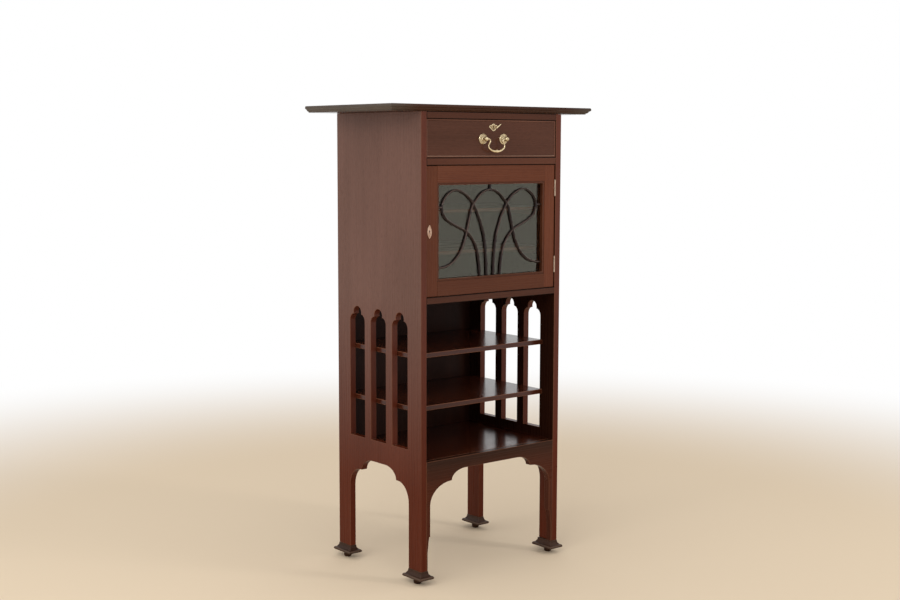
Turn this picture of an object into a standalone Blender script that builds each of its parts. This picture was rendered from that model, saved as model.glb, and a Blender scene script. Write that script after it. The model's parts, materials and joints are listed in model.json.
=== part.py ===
"""Sheet music cabinet: three open bays for music behind arched side openings, a glazed cupboard
above them, and a drawer under a wide moulded top. It stands on four legs that are the side boards
themselves. Metres, +Z up, front towards -Y, origin on the floor under the middle of the cabinet."""

import math

import bmesh
import bpy
from mathutils import Matrix, Vector

# Fits
GAP = 0.0003  # between two pieces that touch
OVERRUN = 0.004  # how far a cutter runs past the face that it cuts
WELD = 0.00001  # points closer than this are one
ARRIS = 0.0008  # a sanded edge
ARC_STEPS = 8  # pieces of a quarter ellipse
TURN_STEPS = 20  # sides of a turned piece
CORNER_ANGLE = math.radians(40)  # edges sharper than this stay crisp on round pieces

# Carcase
CARCASE_WIDTH = 0.456
CARCASE_DEPTH = 0.345
SIDE_THICKNESS = 0.017
BACK_THICKNESS = 0.008
RAIL_DEPTH = 0.030

# Levels, from the floor up
GLIDE_HEIGHT = 0.0142
FOOT_HEIGHT = 0.0195
ARCH_SPRING_HEIGHT = 0.1948
ARCH_TOP_HEIGHT = 0.2753
APRON_RAIL_HEIGHT = 0.0295
BAY_HEIGHT = 0.3845
CUPBOARD_FLOOR_THICKNESS = 0.0165
DOOR_OPENING_HEIGHT = 0.316
DIVIDER_THICKNESS = 0.0175
DRAWER_OPENING_HEIGHT = 0.093
TOP_RAIL_HEIGHT = 0.0168

# Top board
TOP_THICKNESS = 0.016
TOP_SIDE_OVERHANG = 0.0965
TOP_FRONT_OVERHANG = 0.012
TOP_MOULDING_RUN = 0.0105

# Legs, arches and feet
LEG_DEPTH = 0.0492
APRON_THICKNESS = 0.017
LEG_STRIP_WIDTH = 0.012
STRIP_FOOT_WIDTH = 0.004
STRIP_STRAIGHT = 0.0443  # of the strip's narrow end, above the foot
STRIP_TAPER = 0.040
STRIP_NOTCH = 0.0034
FOOT_PROUD = 0.0114
GLIDE_DIAMETER = 0.0195
GLIDE_ROUND = 0.003
GLIDE_ROUND_STEPS = 3

# Side openings: three lancets, each with two shoulders and a round lobe
LANCET_COUNT = 3
LANCET_PITCH = 0.0882
LANCET_WIDTH = 0.0625
LANCET_SILL = 0.0255  # above the bay floor
LANCET_TOP_DROP = 0.025  # of the lobe's top below the bay ceiling
SHOULDER_RISE = 0.018
LOBE_RADIUS = 0.0165
LOBE_RISE = 0.004  # of the lobe's centre above the shoulders
LOBE_STEPS = 16

# Shelves
BOTTOM_THICKNESS = 0.016
SHELF_THICKNESS = 0.012
LOWER_SHELF_RISE = 0.117  # of its underside above the bay floor
UPPER_SHELF_RISE = 0.248
SHELF_SETBACK = 0.042
CUPBOARD_SHELF_THICKNESS = 0.008
CUPBOARD_SHELF_SETBACK = 0.052
CUPBOARD_LOWER_SHELF_RISE = 0.097
CUPBOARD_UPPER_SHELF_RISE = 0.199
CLEAT_HEIGHT = 0.014
CLEAT_THICKNESS = 0.009
CLEAT_SETBACK = 0.020  # from the shelf's front edge

# Drawer
DRAWER_GAP = 0.0008
DRAWER_SETBACK = 0.003  # of the drawer's face behind the frame's
DRAWER_FRONT_THICKNESS = 0.019
DRAWER_SIDE_THICKNESS = 0.009
DRAWER_SIDE_HEIGHT = 0.080
DRAWER_BACK_SPACE = 0.012
DRAWER_BOTTOM_THICKNESS = 0.006
DRAWER_BOTTOM_RISE = 0.008
DRAWER_GROOVE_DEPTH = 0.004
BEAD_WIDTH = 0.004
BEAD_PROUD = 0.0012
BEAD_REBATE = 0.007
STOP_LENGTH = 0.040
STOP_WIDTH = 0.012
STOP_HEIGHT = 0.005
STOP_INSET = 0.060

# Drawer handle
POST_SPACING = 0.0667
POST_DROP = 0.0475  # below the top of the drawer opening
ROSETTE_DIAMETER = 0.0255
ROSETTE_THICKNESS = 0.0022
ROSETTE_RIM = 0.0012
BOSS_RADIUS = 0.0075
POST_NECK_RADIUS = 0.004
KNOB_RADIUS = 0.006
KNOB_STAND = 0.013
SHANK_RADIUS = 0.002
NUT_RADIUS = 0.005
NUT_THICKNESS = 0.003
BAIL_DROP = 0.0304
BAIL_HALF_WIDTH = 0.0256
BAIL_WIRE_RADIUS = 0.0019
BAIL_GRIP_RADIUS = 0.0031
BAIL_HOLE_PLAY = 0.0003
BAIL_STEPS = 2

# Drawer lock, its escutcheon and the cover that swings over the keyhole
SHIELD_WIDTH = 0.028
SHIELD_HEIGHT = 0.018
SHIELD_TOP_DROP = 0.0105  # below the top of the drawer opening
SHIELD_THICKNESS = 0.0012
COVER_LENGTH = 0.0165
COVER_WIDTH = 0.0036
COVER_THICKNESS = 0.001
COVER_REST_ANGLE = 34.0
COVER_PIVOT_OFFSET = 0.0105
RIVET_RADIUS = 0.0007
RIVET_HEAD_RADIUS = 0.0013
RIVET_HEAD_HEIGHT = 0.0006
KEYHOLE_RADIUS = 0.0019
KEYHOLE_HEIGHT = 0.0075
KEYHOLE_SLOT = 0.0018
DRAWER_LOCK_WIDTH = 0.044
DRAWER_LOCK_HEIGHT = 0.030
DRAWER_LOCK_THICKNESS = 0.009

# Door
DOOR_GAP = 0.0012
DOOR_SETBACK = 0.003  # of the door's face behind the frame's
DOOR_THICKNESS = 0.022
DOOR_STILE_WIDTH = 0.034
DOOR_TOP_RAIL_WIDTH = 0.041
DOOR_BOTTOM_RAIL_WIDTH = 0.036
DOOR_MOULDING_WIDTH = 0.005
DOOR_MOULDING_SETBACK = 0.0012
TENON_LENGTH = 0.022
TENON_THICKNESS = 0.007
TENON_SHOULDER = 0.006
GLASS_SETBACK = 0.012
GLASS_THICKNESS = 0.0025
GLASS_LAP = 0.004  # of the glass behind the stiles and rails
FRETWORK_SETBACK = 0.0089
FRETWORK_BAR_RADIUS = 0.0026
FRETWORK_STEPS = 2
DOOR_STOP_LENGTH = 0.036
DOOR_STOP_WIDTH = 0.008
DOOR_STOP_HEIGHT = 0.008
DOOR_STOP_INSET = 0.030

# Door lock and its escutcheon
DOOR_KEY_INSET = 0.0093  # from the stile's outer edge
DOOR_KEY_HEIGHT = 0.158  # above the door opening's floor
DOOR_PLATE_WIDTH = 0.013
DOOR_PLATE_HEIGHT = 0.033
DOOR_PLATE_THICKNESS = 0.0012
DOOR_LOCK_WIDTH = 0.024
DOOR_LOCK_HEIGHT = 0.050
DOOR_LOCK_THICKNESS = 0.010

# Butt hinges
HINGE_LENGTH = 0.041
HINGE_END_MARGIN = 0.0384
HINGE_AXIS_PROUD = 0.001
KNUCKLE_RADIUS = 0.0022
KNUCKLE_CLEARANCE = 0.0004
PIN_RADIUS = 0.001
LEAF_THICKNESS = 0.001
LEAF_DEPTH = 0.016
PIN_END = 0.0006

# Outlines drawn by hand, as shares of the sizes that carry them.
# Bail: half of it, from the knob to the middle of the grip, as shares of its half width and drop.
BAIL_SHARES = (
    (1.25, 0.0),
    (1.02, 0.0),
    (0.87, 0.04),
    (0.80, 0.16),
    (0.90, 0.34),
    (1.0, 0.52),
    (0.98, 0.68),
    (0.80, 0.82),
    (0.48, 0.95),
    (0.0, 1.0),
)
# Fretwork: shares of the half width and of the height of the light that the glass shows.
ARCH_BAR_SHARES = (
    (0.0, 0.941),
    (0.151, 0.908),
    (0.262, 0.834),
    (0.346, 0.760),
    (0.387, 0.657),
    (0.436, 0.520),
    (0.485, 0.395),
    (0.564, 0.275),
    (0.666, 0.188),
    (0.785, 0.135),
    (0.930, 0.112),
    (1.05, 0.110),
)
LOOP_BAR_SHARES = (
    (0.188, -0.04),
    (0.223, 0.203),
    (0.273, 0.328),
    (0.358, 0.426),
    (0.451, 0.491),
    (0.605, 0.546),
    (0.756, 0.600),
    (0.862, 0.664),
    (0.906, 0.760),
    (0.878, 0.831),
    (0.788, 0.903),
    (0.657, 0.943),
    (0.492, 0.904),
    (0.360, 0.825),
    (0.308, 0.770),
    (0.230, 0.668),
    (0.163, 0.541),
    (0.116, 0.432),
    (0.093, 0.314),
    (0.073, 0.170),
    (0.064, -0.04),
)
STUB_BAR_SHARES = ((0.906, 0.760), (1.05, 0.760))
CROWN_BAR_SHARES = ((0.0, 0.941), (0.0, 1.05))
# Escutcheons: half outlines as shares of the half width and half height, from the top point down.
DOOR_PLATE_SHARES = (
    (0.0, 1.0),
    (0.42, 0.80),
    (0.80, 0.50),
    (1.0, 0.0),
    (0.80, -0.55),
    (0.42, -0.84),
    (0.0, -1.0),
)
SHIELD_SHARES = (
    (0.0, 1.0),
    (0.34, 0.94),
    (0.55, 0.62),
    (1.0, 0.30),
    (0.86, -0.06),
    (0.42, -0.62),
    (0.0, -1.0),
)
COVER_SHARES = ((-0.14, 0.0), (-0.06, 0.9), (0.10, 1.0), (0.45, 0.62), (0.80, 0.72), (1.0, 0.0))
# Arches between the legs: the runs of the large quarter, the cusp and the small quarter as shares of
# half the way between the legs, and the large quarter's rise as a share of the arch's whole rise.
SIDE_ARCH_SHARES = (0.345, 0.07, 0.365, 0.621)
FRONT_ARCH_SHARES = (0.337, 0.005, 0.226, 0.671)
# Top board's moulding, from the underside up: a fillet, a cavetto, a quirk and a round nose, as shares
# of the board's thickness and of how far the moulding cuts back.
TOP_SHARES = (
    (0.0, 1.0),
    (0.13, 1.0),
    (0.15, 0.84),
    (0.19, 0.72),
    (0.26, 0.60),
    (0.35, 0.48),
    (0.44, 0.37),
    (0.51, 0.27),
    (0.53, 0.15),
    (0.58, 0.06),
    (0.66, 0.01),
    (0.75, 0.0),
    (0.85, 0.02),
    (0.94, 0.08),
    (1.0, 0.18),
)
# Foot moulding, from the underside up: a nose, a quirk and a cavetto, as shares of the block's
# height and of how far it stands proud of the leg.
FOOT_SHARES = (
    (0.0, 0.84),
    (0.05, 0.94),
    (0.11, 0.99),
    (0.17, 1.0),
    (0.24, 0.98),
    (0.30, 0.92),
    (0.35, 0.83),
    (0.375, 0.72),
    (0.39, 0.57),
    (0.42, 0.46),
    (0.46, 0.40),
    (0.51, 0.365),
    (0.55, 0.30),
    (0.61, 0.21),
    (0.70, 0.135),
    (0.83, 0.08),
    (1.0, 0.045),
)

# Places worked out from the sizes
top_half_width = CARCASE_WIDTH / 2 + TOP_SIDE_OVERHANG
front_reach = max(KNOB_STAND + KNOB_RADIUS - DRAWER_SETBACK, TOP_FRONT_OVERHANG, FOOT_PROUD)
overall_depth = CARCASE_DEPTH + front_reach + FOOT_PROUD
front_y = front_reach - overall_depth / 2
back_y = front_y + CARCASE_DEPTH
middle_y = (front_y + back_y) / 2
drawer_face = front_y + DRAWER_SETBACK
door_face = front_y + DOOR_SETBACK
panel_y = back_y - BACK_THICKNESS  # front of the back panel
outer_x = CARCASE_WIDTH / 2
inner_x = outer_x - SIDE_THICKNESS
board_x = inner_x - GAP  # end of a board between the sides

foot_top = GLIDE_HEIGHT + FOOT_HEIGHT
bay_floor = ARCH_TOP_HEIGHT + APRON_RAIL_HEIGHT
bay_ceiling = bay_floor + BAY_HEIGHT
door_floor = bay_ceiling + CUPBOARD_FLOOR_THICKNESS
door_ceiling = door_floor + DOOR_OPENING_HEIGHT
drawer_floor = door_ceiling + DIVIDER_THICKNESS
drawer_ceiling = drawer_floor + DRAWER_OPENING_HEIGHT
top_underside = drawer_ceiling + TOP_RAIL_HEIGHT

# Start from an empty scene
for old in list(bpy.data.objects):
    bpy.data.objects.remove(old)

cabinet_parts = bpy.data.collections.new("sheet_music_cabinet")
cutters = bpy.data.collections.new("cutters")
for collection in (cabinet_parts, cutters):
    bpy.context.scene.collection.children.link(collection)


def material(name, colour, roughness, metallic=0.0):
    made = bpy.data.materials.new(name)
    made.use_nodes = True
    shader = made.node_tree.nodes["Principled BSDF"]
    shader.inputs["Base Color"].default_value = (*colour, 1.0)
    shader.inputs["Roughness"].default_value = roughness
    shader.inputs["Metallic"].default_value = metallic
    return made


mahogany = material("mahogany", (0.085, 0.028, 0.015), 0.32)
dark_mahogany = material("dark_mahogany", (0.045, 0.016, 0.010), 0.30)
drawer_lining = material("drawer_lining", (0.36, 0.20, 0.10), 0.55)
brass = material("brass", (0.69, 0.52, 0.26), 0.28, 1.0)
glass = material("glass", (0.80, 0.84, 0.80), 0.05)
glass.node_tree.nodes["Principled BSDF"].inputs["Transmission Weight"].default_value = 1.0
steel = material("steel", (0.35, 0.34, 0.32), 0.40, 1.0)


def pivot(name, location):
    """An empty on a joint's axis, which carries the pieces that move with it."""
    empty = bpy.data.objects.new(name, None)
    empty.empty_display_size = KNOB_STAND
    empty.location = location
    cabinet_parts.objects.link(empty)
    return empty


def place(obj, carrier):
    """Parents a piece to its pivot and leaves it where it stands."""
    if carrier:
        obj.parent = carrier
        obj.matrix_parent_inverse = Matrix.Translation(carrier.location).inverted()
    return obj


def add_object(name, data, finish, carrier=None, collection=cabinet_parts):
    obj = bpy.data.objects.new(name, data)
    if finish:
        data.materials.append(finish)
    collection.objects.link(obj)
    return place(obj, carrier)


def as_cutter(obj):
    obj.hide_render = True
    obj.display_type = "WIRE"
    return obj


def soften(obj, width):
    edges = obj.modifiers.new("arris", "BEVEL")
    edges.width = width
    edges.segments = 1
    edges.limit_method = "ANGLE"
    return obj


def combine(obj, other, operation="DIFFERENCE", solver="EXACT"):
    step = obj.modifiers.new(other.name, "BOOLEAN")
    step.operation = operation
    step.object = other
    step.solver = solver
    return obj


def box_mesh(name, size):
    mesh = bpy.data.meshes.new(name)
    shape = bmesh.new()
    bmesh.ops.create_cube(shape, size=1.0, matrix=Matrix.Diagonal((*size, 1.0)))
    shape.to_mesh(mesh)
    shape.free()
    return mesh


def box(name, low, high, finish, carrier=None, arris=ARRIS):
    """A planed board between two corners, its edges sanded."""
    low, high = Vector(low), Vector(high)
    obj = add_object(name, box_mesh(name, high - low), finish, carrier)
    obj.location = (low + high) / 2
    return soften(obj, arris) if arris else obj


def box_cutter(name, low, high, grow=0.0):
    low, high = Vector(low), Vector(high)
    more = Vector((grow, grow, grow))
    obj = add_object(name, box_mesh(name, high - low + 2 * more), None, collection=cutters)
    obj.location = (low + high) / 2
    return as_cutter(obj)


def rod_cutter(name, centre, radius, length, axis):
    """A round cutter along X, Y or Z."""
    mesh = bpy.data.meshes.new(name)
    shape = bmesh.new()
    bmesh.ops.create_cone(
        shape, cap_ends=True, segments=TURN_STEPS, radius1=radius, radius2=radius, depth=length
    )
    shape.to_mesh(mesh)
    shape.free()
    obj = add_object(name, mesh, None, collection=cutters)
    obj.location = centre
    obj.rotation_euler = {"X": (0, math.pi / 2, 0), "Y": (math.pi / 2, 0, 0), "Z": (0, 0, 0)}[axis]
    return as_cutter(obj)


def lofted(name, levels, finish, along="Z", carrier=None):
    """A closed block through rectangles: each level is its place along the axis, then the low and
    high corner across it."""
    order = {"X": (2, 0, 1), "Y": (0, 2, 1), "Z": (0, 1, 2)}[along]
    shape = bmesh.new()
    rings = []
    for place_along, (low_u, low_v), (high_u, high_v) in levels:
        ring = []
        for u, v in ((low_u, low_v), (high_u, low_v), (high_u, high_v), (low_u, high_v)):
            values = (u, v, place_along)
            ring.append(shape.verts.new([values[i] for i in order]))
        rings.append(ring)
    for first, second in zip(rings, rings[1:]):
        for i in range(4):
            j = (i + 1) % 4
            shape.faces.new((first[i], first[j], second[j], second[i]))
    shape.faces.new(rings[0][::-1])
    shape.faces.new(rings[-1])
    bmesh.ops.recalc_face_normals(shape, faces=shape.faces)
    mesh = bpy.data.meshes.new(name)
    shape.to_mesh(mesh)
    shape.free()
    return add_object(name, mesh, finish, carrier)


def solid_from_curve(obj):
    """The mesh that a curve makes, in the curve's place, so that it can be cut or joined."""
    bpy.context.view_layer.update()
    graph = bpy.context.evaluated_depsgraph_get()
    mesh = bpy.data.meshes.new_from_object(obj.evaluated_get(graph), depsgraph=graph)
    shape = bmesh.new()
    shape.from_mesh(mesh)
    bmesh.ops.remove_doubles(shape, verts=shape.verts, dist=WELD)
    bmesh.ops.recalc_face_normals(shape, faces=shape.faces)
    shape.to_mesh(mesh)
    shape.free()
    name, carrier, world = obj.name, obj.parent, obj.matrix_world.copy()
    home = obj.users_collection[0]
    bpy.data.objects.remove(obj)
    solid = bpy.data.objects.new(name, mesh)
    home.objects.link(solid)
    solid.matrix_world = world
    return place(solid, carrier)


def flat_piece(name, loops, thickness, centre, facing, finish, carrier=None):
    """A flat outline, with holes if it has more than one loop, facing along X or Y."""
    curve = bpy.data.curves.new(name, "CURVE")
    curve.dimensions = "2D"
    curve.fill_mode = "BOTH"
    curve.extrude = thickness / 2
    for loop in loops:
        spline = curve.splines.new("POLY")
        spline.points.add(len(loop) - 1)
        for point, (u, v) in zip(spline.points, loop):
            point.co = (u, v, 0, 1)
        spline.use_cyclic_u = True
    obj = add_object(name, curve, finish, None)
    obj.location = centre
    turn = math.pi / 2
    obj.rotation_euler = (turn, 0, turn) if facing == "X" else (turn, 0, 0)
    return place(obj, carrier)


def turned(name, profile, centre, finish, carrier=None, axis="Z"):
    """A turned piece: (radius, height) down its outer side, about Z, or about Y with its top in front."""
    mesh = bpy.data.meshes.new(name)
    hollow = profile[0] == profile[-1]
    points = [(radius, 0, height) for radius, height in (profile[:-1] if hollow else profile)]
    edges = [(i, (i + 1) % len(points)) for i in range(len(profile) - 1)]
    mesh.from_pydata(points, edges, [])
    obj = add_object(name, mesh, finish, None)
    obj.location = centre
    obj.rotation_euler = (math.pi / 2, 0, 0) if axis == "Y" else (0, 0, 0)
    spin = obj.modifiers.new("turning", "SCREW")
    spin.steps = TURN_STEPS
    spin.render_steps = TURN_STEPS
    spin.use_merge_vertices = True
    spin.merge_threshold = WELD
    spin.use_smooth_shade = True
    return place(obj, carrier)


def bent_bar(name, points, radii, sides, steps, finish, carrier=None):
    """A bar along a smooth line through the points, with a radius at each of them."""
    curve = bpy.data.curves.new(name, "CURVE")
    curve.dimensions = "3D"
    curve.bevel_depth = 1.0
    curve.bevel_resolution = sides
    curve.resolution_u = steps
    curve.use_fill_caps = True
    spline = curve.splines.new("BEZIER")
    spline.bezier_points.add(len(points) - 1)
    for knot, point, radius in zip(spline.bezier_points, points, radii):
        knot.co = point
        knot.radius = radius
        knot.handle_left_type = "AUTO"
        knot.handle_right_type = "AUTO"
    return add_object(name, curve, finish, carrier)


def arc(centre, run, rise, start, end, steps=ARC_STEPS):
    """Points of an ellipse between two angles in degrees."""
    points = []
    for i in range(steps + 1):
        angle = math.radians(start + (end - start) * i / steps)
        points.append((centre[0] + run * math.cos(angle), centre[1] + rise * math.sin(angle)))
    return points


def bracket(half_span, shares):
    """Half an arch, from the leg to the straight rail: a large quarter, a cusp, a small quarter."""
    run, cusp, small_run = (half_span * share for share in shares[:3])
    whole_rise = ARCH_TOP_HEIGHT - ARCH_SPRING_HEIGHT
    rise = whole_rise * shares[3]
    large = arc((half_span - run, ARCH_SPRING_HEIGHT), run, rise, 0, 90)
    small_centre = (half_span - run - cusp - small_run, ARCH_SPRING_HEIGHT + rise)
    return large + arc(small_centre, small_run, whole_rise - rise, 0, 90)


def mirrored(points):
    return [(-u, v) for u, v in reversed(points)]


# Top board: a wide slab with a moulding worked along both ends and the front
top_bottom = top_underside + GAP
top_levels = []
for height_share, inset_share in TOP_SHARES:
    inset = TOP_MOULDING_RUN * inset_share
    low_corner = (inset - top_half_width, front_y - TOP_FRONT_OVERHANG + inset)
    high_corner = (top_half_width - inset, back_y)
    top_levels.append((top_bottom + TOP_THICKNESS * height_share, low_corner, high_corner))
lofted("top_board", top_levels, mahogany)


# Side boards: each stands on its own two legs, with an arch between them and three lancets above
def lancet(centre):
    sill = bay_floor + LANCET_SILL
    lobe_centre = bay_ceiling - LANCET_TOP_DROP - LOBE_RADIUS
    shoulder = lobe_centre - LOBE_RISE - SHOULDER_RISE
    notch = math.degrees(math.asin(LOBE_RISE / LOBE_RADIUS))
    run = LANCET_WIDTH / 2 - LOBE_RADIUS
    side = [(LANCET_WIDTH / 2, sill)] + arc((LOBE_RADIUS, shoulder), run, SHOULDER_RISE, 0, 90)
    lobe = arc((0, lobe_centre), LOBE_RADIUS, LOBE_RADIUS, -notch, 180 + notch, LOBE_STEPS)
    return [(centre + u, v) for u, v in side + lobe + mirrored(side)]


def side_board(name, centre_x):
    half = CARCASE_DEPTH / 2
    bottom = foot_top + GAP
    arch = bracket(half - LEG_DEPTH, SIDE_ARCH_SHARES)
    leg = [(half, top_underside), (half, bottom), (half - LEG_DEPTH, bottom)] + arch
    loops = [leg + mirrored(leg)]
    for i in range(LANCET_COUNT):
        loops.append(lancet(LANCET_PITCH * (i - (LANCET_COUNT - 1) / 2)))
    board = flat_piece(name, loops, SIDE_THICKNESS, (centre_x, middle_y, 0), "X", mahogany)
    return solid_from_curve(board)


side_board("side_board_left", (inner_x + outer_x) / -2)
side_board_right = side_board("side_board_right", (inner_x + outer_x) / 2)


# Front apron: the rail under the bays, with a strip down the inside of each front leg that is
# notched and tapers to a narrow end above the foot
strip_x = inner_x - LEG_STRIP_WIDTH
strip_foot_x = inner_x - STRIP_FOOT_WIDTH
apron_foot = foot_top + GAP
taper_low = foot_top + STRIP_STRAIGHT
taper_high = taper_low + STRIP_TAPER
apron_half = [
    (board_x, bay_floor),
    (board_x, apron_foot),
    (strip_foot_x, apron_foot),
    (strip_foot_x, taper_low),
    (strip_x + STRIP_NOTCH, taper_high),
    (strip_x, taper_high),
]
apron_half += bracket(strip_x, FRONT_ARCH_SHARES)
flat_piece(
    "front_apron",
    [apron_half + mirrored(apron_half)],
    APRON_THICKNESS,
    (0, front_y + APRON_THICKNESS / 2, 0),
    "Y",
    mahogany,
)


# Boards and rails between the sides
def cross_board(name, bottom, thickness, front, back, finish=mahogany):
    box(name, (-board_x, front, bottom), (board_x, back, bottom + thickness), finish)


apron_back = front_y + APRON_THICKNESS + GAP
board_back = panel_y - GAP
bottom_underside = bay_floor - BOTTOM_THICKNESS
cross_board("bottom_board", bottom_underside, BOTTOM_THICKNESS, apron_back, board_back)
shelf_front = front_y + SHELF_SETBACK
lower_shelf_z = bay_floor + LOWER_SHELF_RISE
upper_shelf_z = bay_floor + UPPER_SHELF_RISE
cross_board("open_shelf_lower", lower_shelf_z, SHELF_THICKNESS, shelf_front, board_back)
cross_board("open_shelf_upper", upper_shelf_z, SHELF_THICKNESS, shelf_front, board_back)
cross_board("cupboard_floor_board", bay_ceiling, CUPBOARD_FLOOR_THICKNESS, front_y, board_back)
cross_board("drawer_divider_board", door_ceiling, DIVIDER_THICKNESS, front_y, board_back)
cross_board("top_rail_front", drawer_ceiling, TOP_RAIL_HEIGHT, front_y, front_y + RAIL_DEPTH)
cross_board("top_rail_back", drawer_ceiling, TOP_RAIL_HEIGHT, board_back - RAIL_DEPTH, board_back)
box("back_panel", (-board_x, panel_y, bottom_underside), (board_x, back_y, top_underside), dark_mahogany)

# Cupboard shelves on cleats
for level, rise in (("lower", CUPBOARD_LOWER_SHELF_RISE), ("upper", CUPBOARD_UPPER_SHELF_RISE)):
    shelf_z = door_floor + rise
    shelf_y = front_y + CUPBOARD_SHELF_SETBACK
    cross_board(
        f"cupboard_shelf_{level}", shelf_z, CUPBOARD_SHELF_THICKNESS, shelf_y, board_back, mahogany
    )
    cleat_top = shelf_z - GAP
    for side, sign in (("left", -1), ("right", 1)):
        ends = sorted((sign * board_x, sign * (board_x - CLEAT_THICKNESS)))
        box(
            f"shelf_cleat_{level}_{side}",
            (ends[0], shelf_y + CLEAT_SETBACK, cleat_top - CLEAT_HEIGHT),
            (ends[1], board_back, cleat_top),
            dark_mahogany,
        )


# Feet: a moulded block round the end of each leg, on a turned wooden toe
def foot(name, side, end):
    """side is -1 on the left, end is -1 at the front, where the strip's end widens the leg inwards."""
    leg_end = middle_y + end * CARCASE_DEPTH / 2
    leg_inside = strip_foot_x if end < 0 else inner_x
    levels = []
    for height_share, proud_share in FOOT_SHARES:
        height = GLIDE_HEIGHT + FOOT_HEIGHT * height_share
        proud = FOOT_PROUD * proud_share
        across = sorted((side * (outer_x + proud), side * (leg_inside - proud)))
        along = sorted((leg_end + end * proud, leg_end - end * (LEG_DEPTH + proud)))
        levels.append((height, (across[0], along[0]), (across[1], along[1])))
    lofted(f"foot_block_{name}", levels, dark_mahogany)
    glide_radius = GLIDE_DIAMETER / 2
    glide_top = GLIDE_HEIGHT - GAP
    flat_radius = glide_radius - GLIDE_ROUND
    profile = [(0, glide_top), (glide_radius, glide_top)]
    profile += arc((flat_radius, GLIDE_ROUND), GLIDE_ROUND, GLIDE_ROUND, 0, -90, GLIDE_ROUND_STEPS)
    profile.append((0, 0))
    spot = (side * (outer_x + inner_x) / 2, leg_end - end * LEG_DEPTH / 2, 0)
    turned(f"glide_{name}", profile, spot, dark_mahogany)


for end_name, end in (("front", -1), ("back", 1)):
    for side_name, side in (("left", -1), ("right", 1)):
        foot(f"{end_name}_{side_name}", side, end)


# Drawer: a front with a cock bead round it, set back a little, and a box behind that runs on the
# divider board
drawer_pivot = pivot("drawer_pivot", (0, drawer_face, drawer_floor))
drawer_x = inner_x - DRAWER_GAP
drawer_low = drawer_floor + DRAWER_GAP
drawer_high = drawer_ceiling - DRAWER_GAP
bead_inset = BEAD_WIDTH + GAP
bead_back = drawer_face + BEAD_REBATE
drawer_front_back = drawer_face + DRAWER_FRONT_THICKNESS
field = ((bead_inset - drawer_x, drawer_low + bead_inset), (drawer_x - bead_inset, drawer_high - bead_inset))
whole = ((-drawer_x, drawer_low), (drawer_x, drawer_high))
drawer_front = lofted(
    "drawer_front",
    [
        (drawer_face, *field),
        (bead_back + GAP, *field),
        (bead_back + GAP, *whole),
        (drawer_front_back, *whole),
    ],
    mahogany,
    "Y",
    drawer_pivot,
)


def ring(name, half_width, low, high, width, front, back, finish, carrier):
    """A rectangular ring of moulding, half_width to each side of the middle."""
    outer = [(-half_width, low), (half_width, low), (half_width, high), (-half_width, high)]
    inside = half_width - width
    inner = [(-inside, low + width), (inside, low + width), (inside, high - width), (-inside, high - width)]
    centre = (0, (front + back) / 2, 0)
    return flat_piece(name, [outer, inner], back - front, centre, "Y", finish, carrier)


ring(
    "drawer_cock_bead",
    drawer_x,
    drawer_low,
    drawer_high,
    BEAD_WIDTH,
    drawer_face - BEAD_PROUD,
    bead_back,
    mahogany,
    drawer_pivot,
)

box_front = drawer_front_back + GAP
box_back = panel_y - DRAWER_BACK_SPACE
box_top = drawer_low + DRAWER_SIDE_HEIGHT
lining_x = drawer_x - DRAWER_SIDE_THICKNESS  # inside of the drawer's sides
bottom_low = drawer_low + DRAWER_BOTTOM_RISE
bottom_high = bottom_low + DRAWER_BOTTOM_THICKNESS
bottom_x = lining_x + DRAWER_GROOVE_DEPTH - GAP
bottom_corners = ((-bottom_x, box_front, bottom_low), (bottom_x, box_back, bottom_high))
box("drawer_bottom", *bottom_corners, drawer_lining, drawer_pivot, 0)
drawer_groove = box_cutter("drawer_groove", *bottom_corners, GAP)
for side_name, side in (("left", -1), ("right", 1)):
    ends = sorted((side * drawer_x, side * lining_x))
    low, high = (ends[0], box_front, drawer_low), (ends[1], box_back, box_top)
    combine(box(f"drawer_side_{side_name}", low, high, drawer_lining, drawer_pivot), drawer_groove)
    stop_x = side * (inner_x - STOP_INSET)
    box(
        f"drawer_stop_{side_name}",
        (stop_x - STOP_LENGTH / 2, box_front, drawer_floor + GAP),
        (stop_x + STOP_LENGTH / 2, box_front + STOP_WIDTH, drawer_floor + STOP_HEIGHT),
        dark_mahogany,
    )
box(
    "drawer_back",
    (GAP - lining_x, box_back - DRAWER_SIDE_THICKNESS, bottom_high + GAP),
    (lining_x - GAP, box_back, box_top),
    drawer_lining,
    drawer_pivot,
)


# Keyholes: a round hole with a slot under it
def cut_keyhole(name, centre_x, top, front, back, pieces):
    """The keyhole runs from front to back, and its top is given."""
    length = back - front
    middle = (front + back) / 2
    round_z = top - KEYHOLE_RADIUS
    rod = rod_cutter(f"{name}_round", (centre_x, middle, round_z), KEYHOLE_RADIUS, length, "Y")
    half_slot = KEYHOLE_SLOT / 2
    slot = box_cutter(
        f"{name}_slot",
        (centre_x - half_slot, front, top - KEYHOLE_HEIGHT),
        (centre_x + half_slot, back, round_z),
    )
    for piece in pieces:
        combine(combine(piece, rod), slot)


def plate(name, shares, half_width, half_height, centre_x, centre_z, front, thickness, carrier):
    """A symmetrical flat plate on the face behind it."""
    half = [(half_width * u, half_height * v) for u, v in shares]
    outline = half + mirrored(half)[1:-1]
    centre = (centre_x, front + thickness / 2, centre_z)
    piece = flat_piece(name, [outline], thickness, centre, "Y", brass, carrier)
    return solid_from_curve(piece)


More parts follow.
